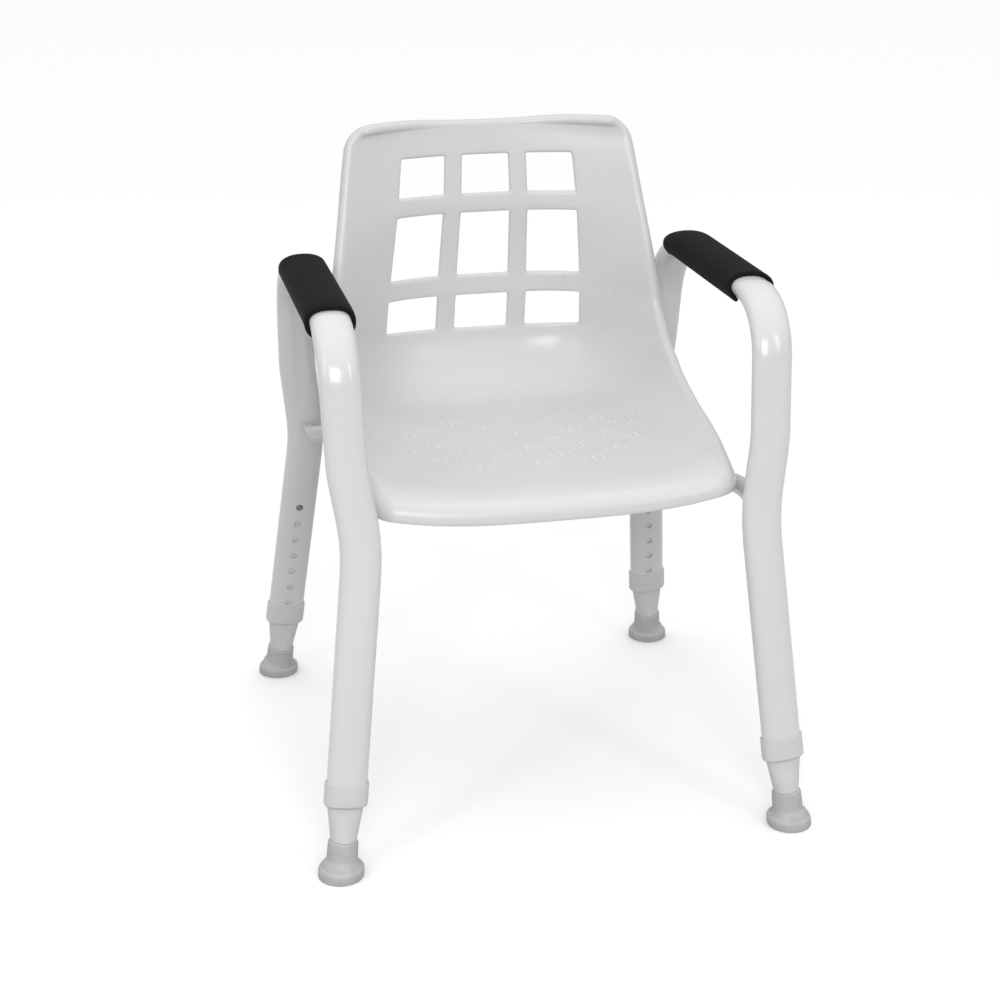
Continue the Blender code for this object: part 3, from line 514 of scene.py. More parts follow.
def frame_path(side):
    """The tube's centre line with its bends, in steps short enough to look smooth."""
    radii = (WAIST_RADIUS, KNEE_RADIUS, FRONT_ARM_RADIUS, REAR_ARM_RADIUS, KNEE_RADIUS, WAIST_RADIUS)
    return rounded_path(frame_corners(side), radii, 12.5 * MM, math.radians(5))


def hollow_tube(path, half_width, half_depth, wall, sides, power=2.0, lateral=RIGHT):
    """A bmesh of a tube with an inner wall, open at both ends."""
    bm = bmesh.new()
    places = along_path(path, lateral)
    outer = [ring(bm, place, half_width, half_depth, sides, power) for place in places]
    inner = [ring(bm, place, half_width - wall, half_depth - wall, sides, power) for place in places]
    bridge(bm, outer + inner[::-1], closed=True)
    return bm


def hole_row(corner, distances):
    """Cutters through the face of a leg that its button comes out of, at distances up the leg."""
    end_y = -CORNERS[corner][1] * 2 * OVAL_HALF_DEPTH
    bm = bmesh.new()
    for distance in distances:
        start, end = (leg_place[corner] @ Vector((0, y, distance)) for y in (0, end_y))
        round_bar(bm, start, end, HOLE_RADIUS)
    return cutting(bm)


# %% Side frames
for name, side in (("left", -1), ("right", 1)):
    holes = []
    for corner, (corner_side, end) in CORNERS.items():
        if corner_side == side:
            top = along_leg(corner, BUTTON_HEIGHT)
            distances = [top - HOLE_PITCH * k for k in range(HOLE_COUNT)]
            holes.append(hole_row(corner, distances))
    tube = hollow_tube(frame_path(side), OVAL_HALF_WIDTH, OVAL_HALF_DEPTH, OVAL_WALL, OVAL_SIDES, OVAL_POWER)
    finish_piece(
        tube, f"{name}_bent_tube", powder_coat, "frame", f"{name}_side_frame", modifiers=holes
    )

# %% [markdown]
# ## Seat and back shell
#
# The shell is one moulding, about 4 mm thick, whose every cross-section is a shallow curve: flat in
# the middle and turned up or forward at the sides. So its face is a grid whose points are placed by
# a formula: a section for each station along the shell, and a power curve across it. Nine windows are
# left out of the grid and their corners rounded. All edges are then rolled over towards the hidden
# side, the wall gets its thickness, and the drain holes are cut.

# %% Shell stations
SIDE_ROLL = 7.5 * MM
FRONT_ROLL = 20 * MM
ROLL_FADE = 75 * MM      # behind the front edge, where the front's roll has become the side's
SIDE_REACH = 1.63        # how far the rolled edge reaches out, in radii: more where the face is steep
FRONT_REACH = 1.15
TOP_ROLL = 6 * MM
WINDOW_ROLL = 4 * MM
SKIRT = 5 * MM
WINDOW_SKIRT = 1 * MM
SHELL_WALL = 4 * MM
SKIRT_TURN_LOW = 40 * MM     # above the seat: from here up the skirt turns from down to rearward
SKIRT_TURN_HIGH = 120 * MM
FRONT_CORNER = 9 * MM
TOP_CORNER = 16 * MM
# Middle of the section and its rim as (y, height above the seat top), then how much narrower each
# side is than the seat, and the power with which the side turns up.
STATIONS = (
    (-0.2160, -0.0030, -0.2085, 0.0070, 0.0000, 3.0),   # 0  front edge
    (-0.1920, 0.0000, -0.1810, 0.0155, -0.0012, 3.8),
    (-0.1300, 0.0000, -0.1120, 0.0300, -0.0028, 4.2),
    (-0.0400, 0.0000, -0.0500, 0.0420, -0.0012, 4.3),
    (0.0500, 0.0000, 0.0030, 0.0570, 0.0002, 4.2),      # 4  the seat is all but flat up to here
    (0.1040, 0.0000, 0.0280, 0.0675, 0.0004, 4.1),
    (0.1365, 0.0065, 0.0430, 0.0745, 0.0008, 4.0),
    (0.1641, 0.0249, 0.0525, 0.0800, 0.0013, 3.9),
    (0.1825, 0.0525, 0.0600, 0.0850, 0.0018, 3.8),
    (0.1870, 0.0795, 0.0700, 0.0940, 0.0022, 3.8),      # 9  bottom windows
    (0.1775, 0.1265, 0.0880, 0.1265, 0.0055, 3.4),      # 10
    (0.1745, 0.1515, 0.0912, 0.1515, 0.0082, 3.1),      # 11 middle windows
    (0.1665, 0.1950, 0.0980, 0.1950, 0.0142, 2.8),
    (0.1580, 0.2365, 0.1070, 0.2365, 0.0197, 2.45),     # 13
    (0.1560, 0.2591, 0.1130, 0.2591, 0.0225, 2.3),      # 14 top windows
    (0.1590, 0.3080, 0.1245, 0.3080, 0.0292, 2.1),      # 15
    (0.1633, 0.3435, 0.1330, 0.3413, 0.0350, 2.1),      # 16 top edge
)
WINDOW_ROWS = ((9, 10), (11, 13), (14, 15))
WINDOW_COLUMNS = ((-0.615, -0.293), (-0.168, 0.168), (0.293, 0.615))


def section_at(row):
    """The cross-section at a station or between two, on a smooth curve through them all."""
    low = min(int(row), len(STATIONS) - 2)
    share = row - low
    before, start, end, after = (STATIONS[min(max(low + k, 0), len(STATIONS) - 1)] for k in (-1, 0, 1, 2))
    return [
        b + (c - a) * share / 2
        + (2 * a - 5 * b + 4 * c - d) * share ** 2 / 2
        + (3 * b - a - 3 * c + d) * share ** 3 / 2
        for a, b, c, d in zip(before, start, end, after)
    ]


def corner_inset(from_end, radius):
    """How far a rounded corner takes the edge in, at a distance from the end of the shell."""
    left = max(0.0, radius - from_end)
    return radius - math.sqrt(radius ** 2 - left ** 2)


def fade(distance):
    """A smooth 0 to 1 from the front edge to where the front's roll has become the side's."""
    share = min(1.0, max(0.0, distance / ROLL_FADE))
    return share * share * (3 - 2 * share)


def low_roll(distance):
    """The radius of the rolled edge at a distance behind the front edge."""
    return FRONT_ROLL + (SIDE_ROLL - FRONT_ROLL) * fade(distance)


def shell_point(row, share):
    """A point of the shell's face: along it by station, across it by share of the half width."""
    middle_y, middle_z, rim_y, rim_z, narrower, power = section_at(row)
    behind = rim_y - STATIONS[0][2]
    reach = low_roll(behind) * (FRONT_REACH + (SIDE_REACH - FRONT_REACH) * fade(behind))
    front_corner = corner_inset(middle_y - STATIONS[0][0], FRONT_CORNER)
    top_corner = corner_inset(STATIONS[-1][1] - middle_z, TOP_CORNER)
    half_width = SEAT_HALF_WIDTH - narrower - reach - front_corner - top_corner
    lift = abs(share * half_width / (half_width + front_corner)) ** power
    return Vector((
        share * half_width,
        middle_y + (rim_y - middle_y) * lift,
        SEAT_TOP + middle_z + (rim_z - middle_z) * lift,
    ))


# %% Shell grid lines
ROLL_SHARE = 0.021        # a window's rolled edge, as a share of the half width
ROLL_ROWS = 0.085         # and in stations, along the back
CORNER_SHARE = 0.030      # a window's corner radius, in the same two ways
CORNER_ROWS = 0.13


def spaced(marks, step):
    """Grid lines at all marks, and evenly between them no further apart than a step."""
    lines = [marks[0]]
    for low, high in zip(marks, marks[1:]):
        count = max(1, math.ceil((high - low) / step - 1e-6))
        lines += [low + (high - low) * k / count for k in range(1, count + 1)]
    return lines


def window_marks(openings, roll, corner):
    """Lines at the edges of the openings in the bare face, and where their corners end."""
    marks = []
    for low, high in openings:
        marks += [low - roll, low - roll + corner, high + roll - corner, high + roll]
    return marks


SHARES = spaced([-1.0] + window_marks(WINDOW_COLUMNS, ROLL_SHARE, CORNER_SHARE) + [1.0], 0.045)
FRONT_LINES = [0.0, 0.03, 0.08, 0.16, 0.26, 0.38, 0.52, 0.75, 1.0]
TOP_LINES = [15.6, 15.72, 15.83, 15.91, 15.97, 16.0]
seat_lines = spaced([1.0, 4.0], 0.14)[1:] + spaced([4.0, 8.6], 0.24)[1:]
back_marks = window_marks(WINDOW_ROWS, ROLL_ROWS, CORNER_ROWS)
back_lines = spaced([8.6] + back_marks + [15.6], 0.16)[1:]
LINES = FRONT_LINES + seat_lines + back_lines + TOP_LINES[1:]
print("shell grid:", len(SHARES), "by", len(LINES))


# %% Shell face
def window_under(share, row):
    """Whether a place on the face is inside one of the nine openings."""
    across = any(low - ROLL_SHARE < share < high + ROLL_SHARE for low, high in WINDOW_COLUMNS)
    along = any(low - ROLL_ROWS < row < high + ROLL_ROWS for low, high in WINDOW_ROWS)
    return across and along


def shell_face():
    """The bare face with its windows, as a sheet whose points are placed by the formula."""
    bm = bmesh.new()
    columns, rows = len(SHARES) - 1, len(LINES) - 1
    bmesh.ops.create_grid(bm, x_segments=columns, y_segments=rows, size=1.0)
    flat = {}
    for vert in bm.verts:
        i = round((vert.co.x + 1) / 2 * columns)
        j = round((vert.co.y + 1) / 2 * rows)
        flat[vert] = [SHARES[i], LINES[j]]
    gone = []
    for face in bm.faces:
        centre = [sum(flat[vert][axis] for vert in face.verts) / len(face.verts) for axis in (0, 1)]
        if window_under(*centre):
            gone.append(face)
    bmesh.ops.delete(bm, geom=gone, context="FACES")
    round_off = 1 - math.sqrt(0.5)
    for low, high in WINDOW_COLUMNS:
        for bottom, top in WINDOW_ROWS:
            for share, inward in ((low - ROLL_SHARE, 1), (high + ROLL_SHARE, -1)):
                for row, upward in ((bottom - ROLL_ROWS, 1), (top + ROLL_ROWS, -1)):
                    for vert, spot in flat.items():
                        if vert.is_valid and abs(spot[0] - share) < 1e-6 and abs(spot[1] - row) < 1e-6:
                            corner = vert
                    shift = CORNER_SHARE * round_off * inward, CORNER_ROWS * round_off * upward
                    flat[corner] = [share + shift[0], row + shift[1]]
    for vert in bm.verts:
        vert.co = shell_point(flat[vert][1], flat[vert][0])
    return bm


# %% Rolled edges
def skirt_direction(point):
    """Where the outer edge ends up pointing: down round the seat, rearward round the back."""
    share = (point.z - SEAT_TOP - SKIRT_TURN_LOW) / (SKIRT_TURN_HIGH - SKIRT_TURN_LOW)
    share = min(1.0, max(0.0, share))
    return Vector((0.0, share, share - 1.0))


def edge_facts(vert, outer):
    """Start, outward way, hidden side, angle, radius and skirt for one point of an edge to be rolled."""
    ends = [edge.other_vert(vert).co for edge in vert.link_edges if edge.is_boundary]
    run = (ends[0] - ends[1]).normalized()
    out = run.cross(vert.normal).normalized()
    inside = sum((face.calc_center_median() for face in vert.link_faces), Vector()) / len(vert.link_faces)
    if out.dot(inside - vert.co) > 0:
        out = -out
    under = -vert.normal
    if not outer:
        return vert.co.copy(), out, under, math.radians(90), WINDOW_ROLL, WINDOW_SKIRT
    skirt = skirt_direction(vert.co)
    if vert.co.z < SEAT_TOP + SKIRT_TURN_HIGH:
        radius = low_roll(vert.co.y - STATIONS[0][2])
    else:
        radius = SIDE_ROLL + (TOP_ROLL - SIDE_ROLL) * abs(run.x)
    return vert.co.copy(), out, under, math.atan2(skirt.dot(under), skirt.dot(out)), radius, SKIRT


def roll_edges(bm, edges, outer, steps):
    """Rolls a boundary over to the hidden side in steps of an arc, and ends it in a short skirt."""
    facts = {vert: edge_facts(vert, outer) for edge in edges for vert in edge.verts}
    for step in range(1, steps + 2):
        made = bmesh.ops.extrude_edge_only(bm, edges=edges)["geom"]
        fresh = dict.fromkeys(item for item in made if isinstance(item, bmesh.types.BMVert))
        moved = {}
        for vert, fact in facts.items():
            start, out, under, turn, radius, skirt = fact
            twin = next(edge.other_vert(vert) for edge in vert.link_edges if edge.other_vert(vert) in fresh)
            angle = turn * min(step, steps) / steps
            twin.co = start + out * radius * math.sin(angle) + under * radius * (1 - math.cos(angle))
            if step > steps:
                twin.co += (out * math.cos(turn) + under * math.sin(turn)) * skirt
            moved[twin] = fact
        facts = moved
        edges = edges_of(fresh)


def boundary_loops(bm):
    """The sheet's boundary edges, as the outer loop and the list of window loops."""
    left = dict.fromkeys(edge for edge in bm.edges if edge.is_boundary)
    loops = []
    while left:
        loop = [left.popitem()[0]]
        for edge in loop:
            for other in (other for vert in edge.verts for other in vert.link_edges):
                if other in left:
                    del left[other]
                    loop.append(other)
        loops.append(loop)
    loops.sort(key=len)
    return loops[-1], loops[:-1]


# %% [markdown]
# ### Drain holes
#
# Water leaves through clusters of four small holes, set in staggered rows over the flat of the
# seat. Each hole is countersunk, so it shows as a small bright and dark fleck.

# %% Drain holes
DRAIN_FIRST_Y = 0.047
DRAIN_ROW_PITCH = 26.8 * MM
DRAIN_COLUMN_PITCH = 33.8 * MM
DRAIN_PATTERN = ((-2, 0, 2), (-3, -1, 1, 3), (-4, -2, 0, 2, 4), (-3, -1, 1, 3),
                 (-4, -2, 0, 2, 4), (-3, -1, 1, 3), (-2, 0, 2))
DRAIN_CLUSTER = ((-12 * MM, 0.0), (12 * MM, 0.0), (0.0, -4.5 * MM), (0.0, 4.5 * MM))
DRAIN_RADIUS = 2.2 * MM
DRAIN_MOUTH = 3.7 * MM
DRAIN_SINK = 1.8 * MM
DRAIN_SIDES = 12


def seat_height(x, y):
    """Height of the seat's face over a point, from the formula."""
    low, high = 1.0, 5.0
    for _ in range(24):
        row = (low + high) / 2
        point = shell_point(row, x / shell_point(row, 1.0).x)
        if point.y < y:
            low = row
        else:
            high = row
    return point.z


def drain_cutters():
    """All drain holes as one shape: a straight bore under a cone."""
    bm = bmesh.new()
    for row, columns in enumerate(DRAIN_PATTERN):
        for column in columns:
            for dx, dy in DRAIN_CLUSTER:
                x = column * DRAIN_COLUMN_PITCH + dx
                y = DRAIN_FIRST_Y - row * DRAIN_ROW_PITCH + dy
                top = seat_height(x, y)
                spots = (
                    (top - 2 * SHELL_WALL, DRAIN_RADIUS), (top - DRAIN_SINK, DRAIN_RADIUS),
                    (top + DRAIN_SINK / 2, DRAIN_MOUTH + DRAIN_SINK / 2),
                )
                bridge(bm, [ring(bm, Matrix.Translation((x, y, z)), r, r, DRAIN_SIDES) for z, r in spots])
    return cutting(bm)


# %% Shell
BOSS_RADIUS = 8 * MM
OUTER_ROLL_STEPS = 6
WINDOW_ROLL_STEPS = 3

shell = shell_face()
shell.normal_update()
outer_loop, window_loops = boundary_loops(shell)
roll_edges(shell, outer_loop, True, OUTER_ROLL_STEPS)
for loop in window_loops:
    shell.normal_update()
    roll_edges(shell, loop, False, WINDOW_ROLL_STEPS)
print("windows:", len(window_loops))
bosses = bmesh.new()
saddle_boxes = {corner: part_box(f"seat_saddle_{corner}") for corner in CORNERS}
for low, high in saddle_boxes.values():
    x, y = (low[0] + high[0]) / 2, (low[1] + high[1]) / 2
    start = Vector((x, y, high[2] + GAP))
    end = Vector((x, y, seat_height(x, y) - SHELL_WALL / 2))
    round_bar(bosses, start, end, BOSS_RADIUS)
shell_piece = finish_piece(
    shell, "moulded_shell", polypropylene, "frame", "seat_shell", closed=False,
    modifiers=(
        ("SOLIDIFY", {"thickness": SHELL_WALL, "offset": -1.0, "use_even_offset": True}),
        ("SUBSURF", {"levels": 1, "render_levels": 1}),
        cutting(bosses, "UNION"),
        drain_cutters(),
    ),
)
shell_piece.modifiers.new("Even Shading", "WEIGHTED_NORMAL").keep_sharp = True

# %% [markdown]
# ## Tubes under the seat
#
# A round tube runs back from each front leg, turns and crosses under the seat. A straight one
# crosses between the rear legs, and two rails lie on it and carry the shell. The ends at the legs
# are welded all round, and the weld shows through the paint as a rippled bead.

# %% Cross tube sizes
CROSS_RADIUS = 11 * MM
CROSS_WALL = 1.5 * MM
CROSS_SIDES = 32
CROSS_BEND = 45 * MM
REAR_END_LENGTH = 30 * MM
END_SLANT = 0.5          # of the rear tube's sealed ends: in from the top, for each unit down
RAIL_RADIUS = 9.5 * MM
UP = Vector((0, 0, 1))

front_low, front_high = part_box("front_cross_tube")
rear_low, rear_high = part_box("rear_cross_tube")
front_height = (front_low[2] + front_high[2]) / 2
rear_height = (rear_low[2] + rear_high[2]) / 2
rear_y = (rear_low[1] + rear_high[1]) / 2


def leg_centre(side, end, height):
    """The bent tube's centre line at a height near the seat."""
    path = frame_path(side)
    half = len(path) // 2
    run = path[:half] if end < 0 else path[half:][::-1]
    for low, high in zip(run, run[1:]):
        if low.z <= height <= high.z:
            return low.lerp(high, (height - low.z) / (high.z - low.z))
    raise ValueError("the height is off the leg")


# %% Cross tubes and rails
run_y = front_high[1] - CROSS_RADIUS
corners = []
for side in (-1, 1):
    leg = leg_centre(side, -1, front_height)
    corners += [Vector((leg.x, y, front_height)) for y in (leg.y + OVAL_HALF_DEPTH + GAP, run_y)][::-side]
front_path = rounded_path(corners, (CROSS_BEND, CROSS_BEND), 20 * MM, math.radians(6))
front_tube = hollow_tube(front_path, CROSS_RADIUS, CROSS_RADIUS, CROSS_WALL, CROSS_SIDES, lateral=UP)
finish_piece(front_tube, "front_bent_cross_tube", powder_coat, "frame", "front_cross_tube")

rear_tube = bmesh.new()
rings = []
for x in (rear_low[0], rear_low[0] + REAR_END_LENGTH, rear_high[0] - REAR_END_LENGTH, rear_high[0]):
    place = section_place(Vector((x, rear_y, rear_height)), RIGHT, UP)
    rings.append(ring(rear_tube, place, CROSS_RADIUS, CROSS_RADIUS, CROSS_SIDES))
bridge(rear_tube, rings)
for vert in rear_tube.verts:
    if abs(vert.co.x) > rear_high[0] - MM:
        below_top = rear_height + CROSS_RADIUS - vert.co.z
        vert.co.x -= math.copysign(END_SLANT * below_top, vert.co.x)
finish_piece(rear_tube, "rear_straight_cross_tube", powder_coat, "frame", "rear_cross_tube")

rails = {}
for name in ("left", "right"):
    low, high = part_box(f"{name}_seat_rail")
    x, z = (low[0] + high[0]) / 2, (low[2] + high[2]) / 2
    rails[name] = (x, z)
    path = [Vector((x, y, z)) for y in (low[1], high[1])]
    rail = hollow_tube(path, RAIL_RADIUS, RAIL_RADIUS, CROSS_WALL, CROSS_SIDES)
    finish_piece(rail, f"{name}_rail_tube", powder_coat, "frame", f"{name}_seat_rail")

# %% [markdown]
# ### Weld beads
#
# A bead is laid in overlapping drops, so it is a thin ring whose thickness ripples. Each one hugs
# the end of a cross tube where it meets the leg.

# %% Weld beads
BEAD_RADIUS = 1.9 * MM
BEAD_RIPPLE = 0.35 * MM
BEAD_DROPS = 22          # round a tube
BEAD_SIDES = 10
GROOVE_LENGTH = 15 * MM
GROOVE_DROPS = 5
GROOVE_SIDES = 12


def bead_thickness(turn):
    """How thick a bead is where its ripple has come to this angle."""
    return BEAD_RADIUS + BEAD_RIPPLE * math.cos(turn)


def weld_bead(name, centre, axis, radius):
    """A rippled ring round a tube's end, in a plane square to its axis."""
    bm = bmesh.new()
    steps = BEAD_DROPS * 4
    rings = []
    for k in range(steps):
        turn = math.tau * k / steps
        spoke = Vector((math.cos(turn), math.sin(turn), 0))
        stand = section_place(spoke * radius, UP.cross(spoke), UP)
        thick = bead_thickness(turn * BEAD_DROPS)
        rings.append(ring(bm, section_place(centre, axis, UP) @ stand, thick, thick, BEAD_SIDES))
    bridge(bm, rings, closed=True)
    finish_piece(bm, name, powder_coat, "frame")


def straight_bead(name, start, end):
    """A rippled bead along a groove between two tubes, thinner towards its ends."""
    bm = bmesh.new()
    steps = GROOVE_DROPS * 8
    rings = []
    for k in range(steps + 1):
        share = k / steps
        taper = math.sin(math.pi * (0.08 + 0.84 * share)) ** 0.5
        thick = bead_thickness(math.tau * share * GROOVE_DROPS) * taper
        place = section_place(start.lerp(end, share), (end - start).normalized(), UP)
        rings.append(ring(bm, place, thick, thick, GROOVE_SIDES))
    bridge(bm, rings)
    finish_piece(bm, name, powder_coat, "frame")


for name, side in (("left", -1), ("right", 1)):
    leg = leg_centre(side, -1, front_height)
    joint = Vector((leg.x, leg.y + OVAL_HALF_DEPTH + 0.8 * MM, front_height))
    weld_bead(f"{name}_front_weld", joint, Vector((0, 1, 0)), CROSS_RADIUS + 0.5 * MM)
    for level, up in (("upper", 1), ("lower", -1)):
        inset = 0 if up > 0 else END_SLANT * 2 * CROSS_RADIUS
        outer_end = Vector((
            side * (rear_high[0] + 2 * MM - inset),
            rear_y + 0.72 * CROSS_RADIUS,
            rear_height + up * 0.86 * CROSS_RADIUS,
        ))
        straight_bead(f"{name}_{level}_rear_weld", outer_end - RIGHT * side * GROOVE_LENGTH, outer_end)

# %% [markdown]
# ## Arm sleeves
#
# Each sleeve is a split extrusion pushed over the arm, and it bends with the tube where it reaches a
# bend. Its ends are cut on a slant, so at the front its lower lips run on further than its top. Its
# section is an open ring, swept along the arm's own path, and the slant comes from letting each
# line of the sleeve start at its own place along the path.

# %% Arm sleeve sizes
SLEEVE_WALL = 5.5 * MM
OUTER_OPENING = math.radians(46)      # from the middle of the underside to each lip
INNER_OPENING = math.radians(60)
SLEEVE_SIDES = 44
SLEEVE_RINGS = 80
SLEEVE_FLAT = -0.9                    # the end is cut straight across down to here, 1 is lowest
# How far past the start of each bend the top, the sides and the lips reach, front and rear. The
# sleeves were pushed on by hand, and the right one sits further back.
SLEEVE_ENDS = {
    "left": ((17 * MM, 20 * MM, 32 * MM), (1 * MM, 3 * MM, 3 * MM)),
    "right": ((-14 * MM, -8 * MM, 20 * MM), (38 * MM, 30 * MM, 10 * MM)),
}
SLEEVE_EDGE = 1.6 * MM
SLEEVE_EDGE_STEPS = ((0.0, 0.32), (0.35, 0.08), (1.0, 0.0))    # share of the edge, pinch of the wall


# %% Arm sleeves
def stations_along(path):
    """Each path point's distance from the start."""
    distances = [0.0]
    for low, high in zip(path, path[1:]):
        distances.append(distances[-1] + (high - low).length)
    return distances


def spot_at(path, distances, distance):
    """The section's place at a distance along a path."""
    k = next((k for k in range(1, len(path)) if distance <= distances[k]), len(path) - 1)
    share = (distance - distances[k - 1]) / (distances[k] - distances[k - 1])
    tangent = (path[k] - path[k - 1]).normalized()
    ahead = (path[k + 1] - path[k]).normalized() if k + 1 < len(path) else tangent
    behind = (path[k - 1] - path[k - 2]).normalized() if k > 1 else tangent
    turn = (behind + tangent).normalized().lerp((tangent + ahead).normalized(), share)
    return section_place(path[k - 1].lerp(path[k], share), turn.normalized())


def sleeve_outline(side):
    """Places round the open section as (angle, depth share): 0 is the inner skin and 1 the outer."""
    left, right = (OUTER_OPENING, INNER_OPENING) if side < 0 else (INNER_OPENING, OUTER_OPENING)
    first = math.pi / 2 + left
    last = math.pi / 2 + math.tau - right
    turns = [first + (last - first) * k / SLEEVE_SIDES for k in range(SLEEVE_SIDES + 1)]
    lip = [(0.82, math.radians(3)), (0.5, math.radians(4.5)), (0.18, math.radians(3))]
    outline = [(turn, 1.0) for turn in turns]
    outline += [(last + more, depth) for depth, more in lip]
    outline += [(turn, 0.0) for turn in reversed(turns)]
    outline += [(first - more, depth) for depth, more in reversed(lip)]
    return outline


def sleeve_point(place, turn, out):
    """A point of the section, at a distance out from the tube's surface."""
    spot = []
    for half, wave in ((OVAL_HALF_WIDTH, math.cos(turn)), (OVAL_HALF_DEPTH, math.sin(turn))):
        spot.append((half + out) * math.copysign(abs(wave) ** (2 / OVAL_POWER), wave))
    return place @ Vector((*spot, 0.0))


def sleeve_reach(turn, ends):
    """How far past the bend's start one line of the sleeve goes, by how low it lies."""
    low = math.copysign(abs(math.sin(turn)) ** (2 / OVAL_POWER), math.sin(turn))
    top, middle, lip = ends
    if low > 0:
        return middle + (lip - middle) * low
    share = max(0.0, (low - SLEEVE_FLAT) / -SLEEVE_FLAT)
    return top + (middle - top) * share


def arm_sleeve(name, side):
    """The split sleeve, each line of which starts and ends at its own place along the arm."""
    radii = (FRONT_ARM_RADIUS, REAR_ARM_RADIUS)
    path = rounded_path(frame_corners(side)[2:6], radii, 10 * MM, math.radians(3))
    distances = stations_along(path)
    level = [d for d, point in zip(distances, path) if abs(point.z - ARM_HEIGHT) < 1e-6]
    outline = sleeve_outline(side)
    front, rear = SLEEVE_ENDS[name]
    bm = bmesh.new()
    rows = [(0.0, along * SLEEVE_EDGE, pinch) for along, pinch in SLEEVE_EDGE_STEPS]
    rows += [(k / SLEEVE_RINGS, 0.0, 0.0) for k in range(1, SLEEVE_RINGS)]
    rows += [(1.0, -along * SLEEVE_EDGE, pinch) for along, pinch in reversed(SLEEVE_EDGE_STEPS)]
    rings = []
    for share, more, pinch in rows:
        loop = bmesh.ops.create_circle(bm, segments=len(outline), radius=1.0)["verts"]
        for vert, (turn, depth) in zip(loop, outline):
            start = level[0] - sleeve_reach(turn, front)
            end = level[-1] + sleeve_reach(turn, rear)
            place = spot_at(path, distances, start + (end - start) * share + more)
            depth = min(1 - pinch, max(pinch, depth))
            vert.co = sleeve_point(place, turn, GAP + (SLEEVE_WALL - GAP) * depth)
        rings.append(loop)
    bridge(bm, rings)
    finish_piece(bm, f"{name}_split_sleeve", sleeve_vinyl, "frame", f"{name}_arm_pad")


for name, side in (("left", -1), ("right", 1)):
    arm_sleeve(name, side)

# %% [markdown]
# ## Saddles and screws
#
# A nylon saddle sits on the rail under each of the shell's four bosses, and a pan-head screw comes
# up through rail and saddle into the boss. The saddle is a block with softened edges and a groove
# for the rail. The screw is turned and its head has a cross recess.

# %% Saddles and screws
SCREW_RADIUS = 2.1 * MM
SCREW_HEAD_RADIUS = 4.5 * MM
SCREW_HEAD = 2.8 * MM
SCREW_CLEARANCE = 0.4 * MM
RECESS_LENGTH = 4.6 * MM
RECESS_WIDTH = 1.0 * MM
RECESS_DEPTH = 1.4 * MM
SADDLE_EDGE = 1.2 * MM
OVERCUT = 10 * MM          # how far a cutter runs on past the face it opens


def block(bm, low, high):
    """A box between two corners."""
    middle = (Vector(low) + Vector(high)) / 2
    size = Vector(high) - Vector(low)
    bmesh.ops.create_cube(bm, size=1.0, matrix=Matrix.Translation(middle) @ Matrix.Diagonal((*size, 1)))


def turned(place, profile, sides=32):
    """A solid of revolution from (height, radius) pairs."""
    return loft([(height, radius, radius) for height, radius in profile], place, sides)


for corner, (side, end) in CORNERS.items():
    x, rail_z = rails["left" if side < 0 else "right"]
    low, high = saddle_boxes[corner]
    y = (low[1] + high[1]) / 2
    saddle = bmesh.new()
    block(saddle, low, high)
    bmesh.ops.bevel(
        saddle, geom=saddle.edges[:], offset=SADDLE_EDGE, segments=3, profile=0.5, affect="EDGES", material=-1
    )
    rail_ends = [Vector((x, edge, rail_z)) for edge in (low[1] - OVERCUT, high[1] + OVERCUT)]
    screw_ends = [Vector((x, y, height)) for height in (rail_z, high[2] + OVERCUT)]
    groove, bore, recess = bmesh.new(), bmesh.new(), bmesh.new()
    round_bar(groove, *rail_ends, RAIL_RADIUS + GAP, 32)
    round_bar(bore, *screw_ends, SCREW_RADIUS + SCREW_CLEARANCE)
    finish_piece(
        saddle, f"{corner}_moulded_saddle", saddle_nylon, "frame", f"seat_saddle_{corner}",
        modifiers=(cutting(groove), cutting(bore)),
    )
    screw_low, screw_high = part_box(f"seat_screw_{corner}")
    foot, tip = screw_low[2], screw_high[2]
    screw = turned(Matrix.Translation((x, y, 0)), (
        (foot, SCREW_HEAD_RADIUS * 0.62), (foot + 0.5 * MM, SCREW_HEAD_RADIUS * 0.86),
        (foot + 1.3 * MM, SCREW_HEAD_RADIUS), (foot + SCREW_HEAD, SCREW_HEAD_RADIUS),
        (foot + SCREW_HEAD, SCREW_RADIUS), (tip - SCREW_RADIUS, SCREW_RADIUS), (tip, SCREW_RADIUS * 0.3),
    ))
    for long, wide in ((RECESS_LENGTH, RECESS_WIDTH), (RECESS_WIDTH, RECESS_LENGTH)):
        half = Vector((long / 2, wide / 2, 0))
        centre = Vector((x, y, foot))
        block(recess, centre - half - UP * MM, centre + half + UP * RECESS_DEPTH)
    finish_piece(
        screw, f"{corner}_pan_head_screw", plated_steel, "frame", f"seat_screw_{corner}",
        modifiers=(cutting(recess),),
    )

# %% [markdown]
# ## Collars
#
# A collar is a short moulded sleeve on the end of the frame tube. Its lower corners are turned in
# generously, so that nothing catches on it, and only a fine seam is left round the leg.

# %% Collars
LEG_PLAY = 0.7 * MM
LEG_WALL = 1.5 * MM
LEG_HALF_WIDTH = OVAL_HALF_WIDTH - OVAL_WALL - LEG_PLAY
LEG_HALF_DEPTH = OVAL_HALF_DEPTH - OVAL_WALL - LEG_PLAY
COLLAR_WALL = 2 * MM
COLLAR_ROUND = 3.6 * MM
COLLAR_EDGE = 0.5 * MM

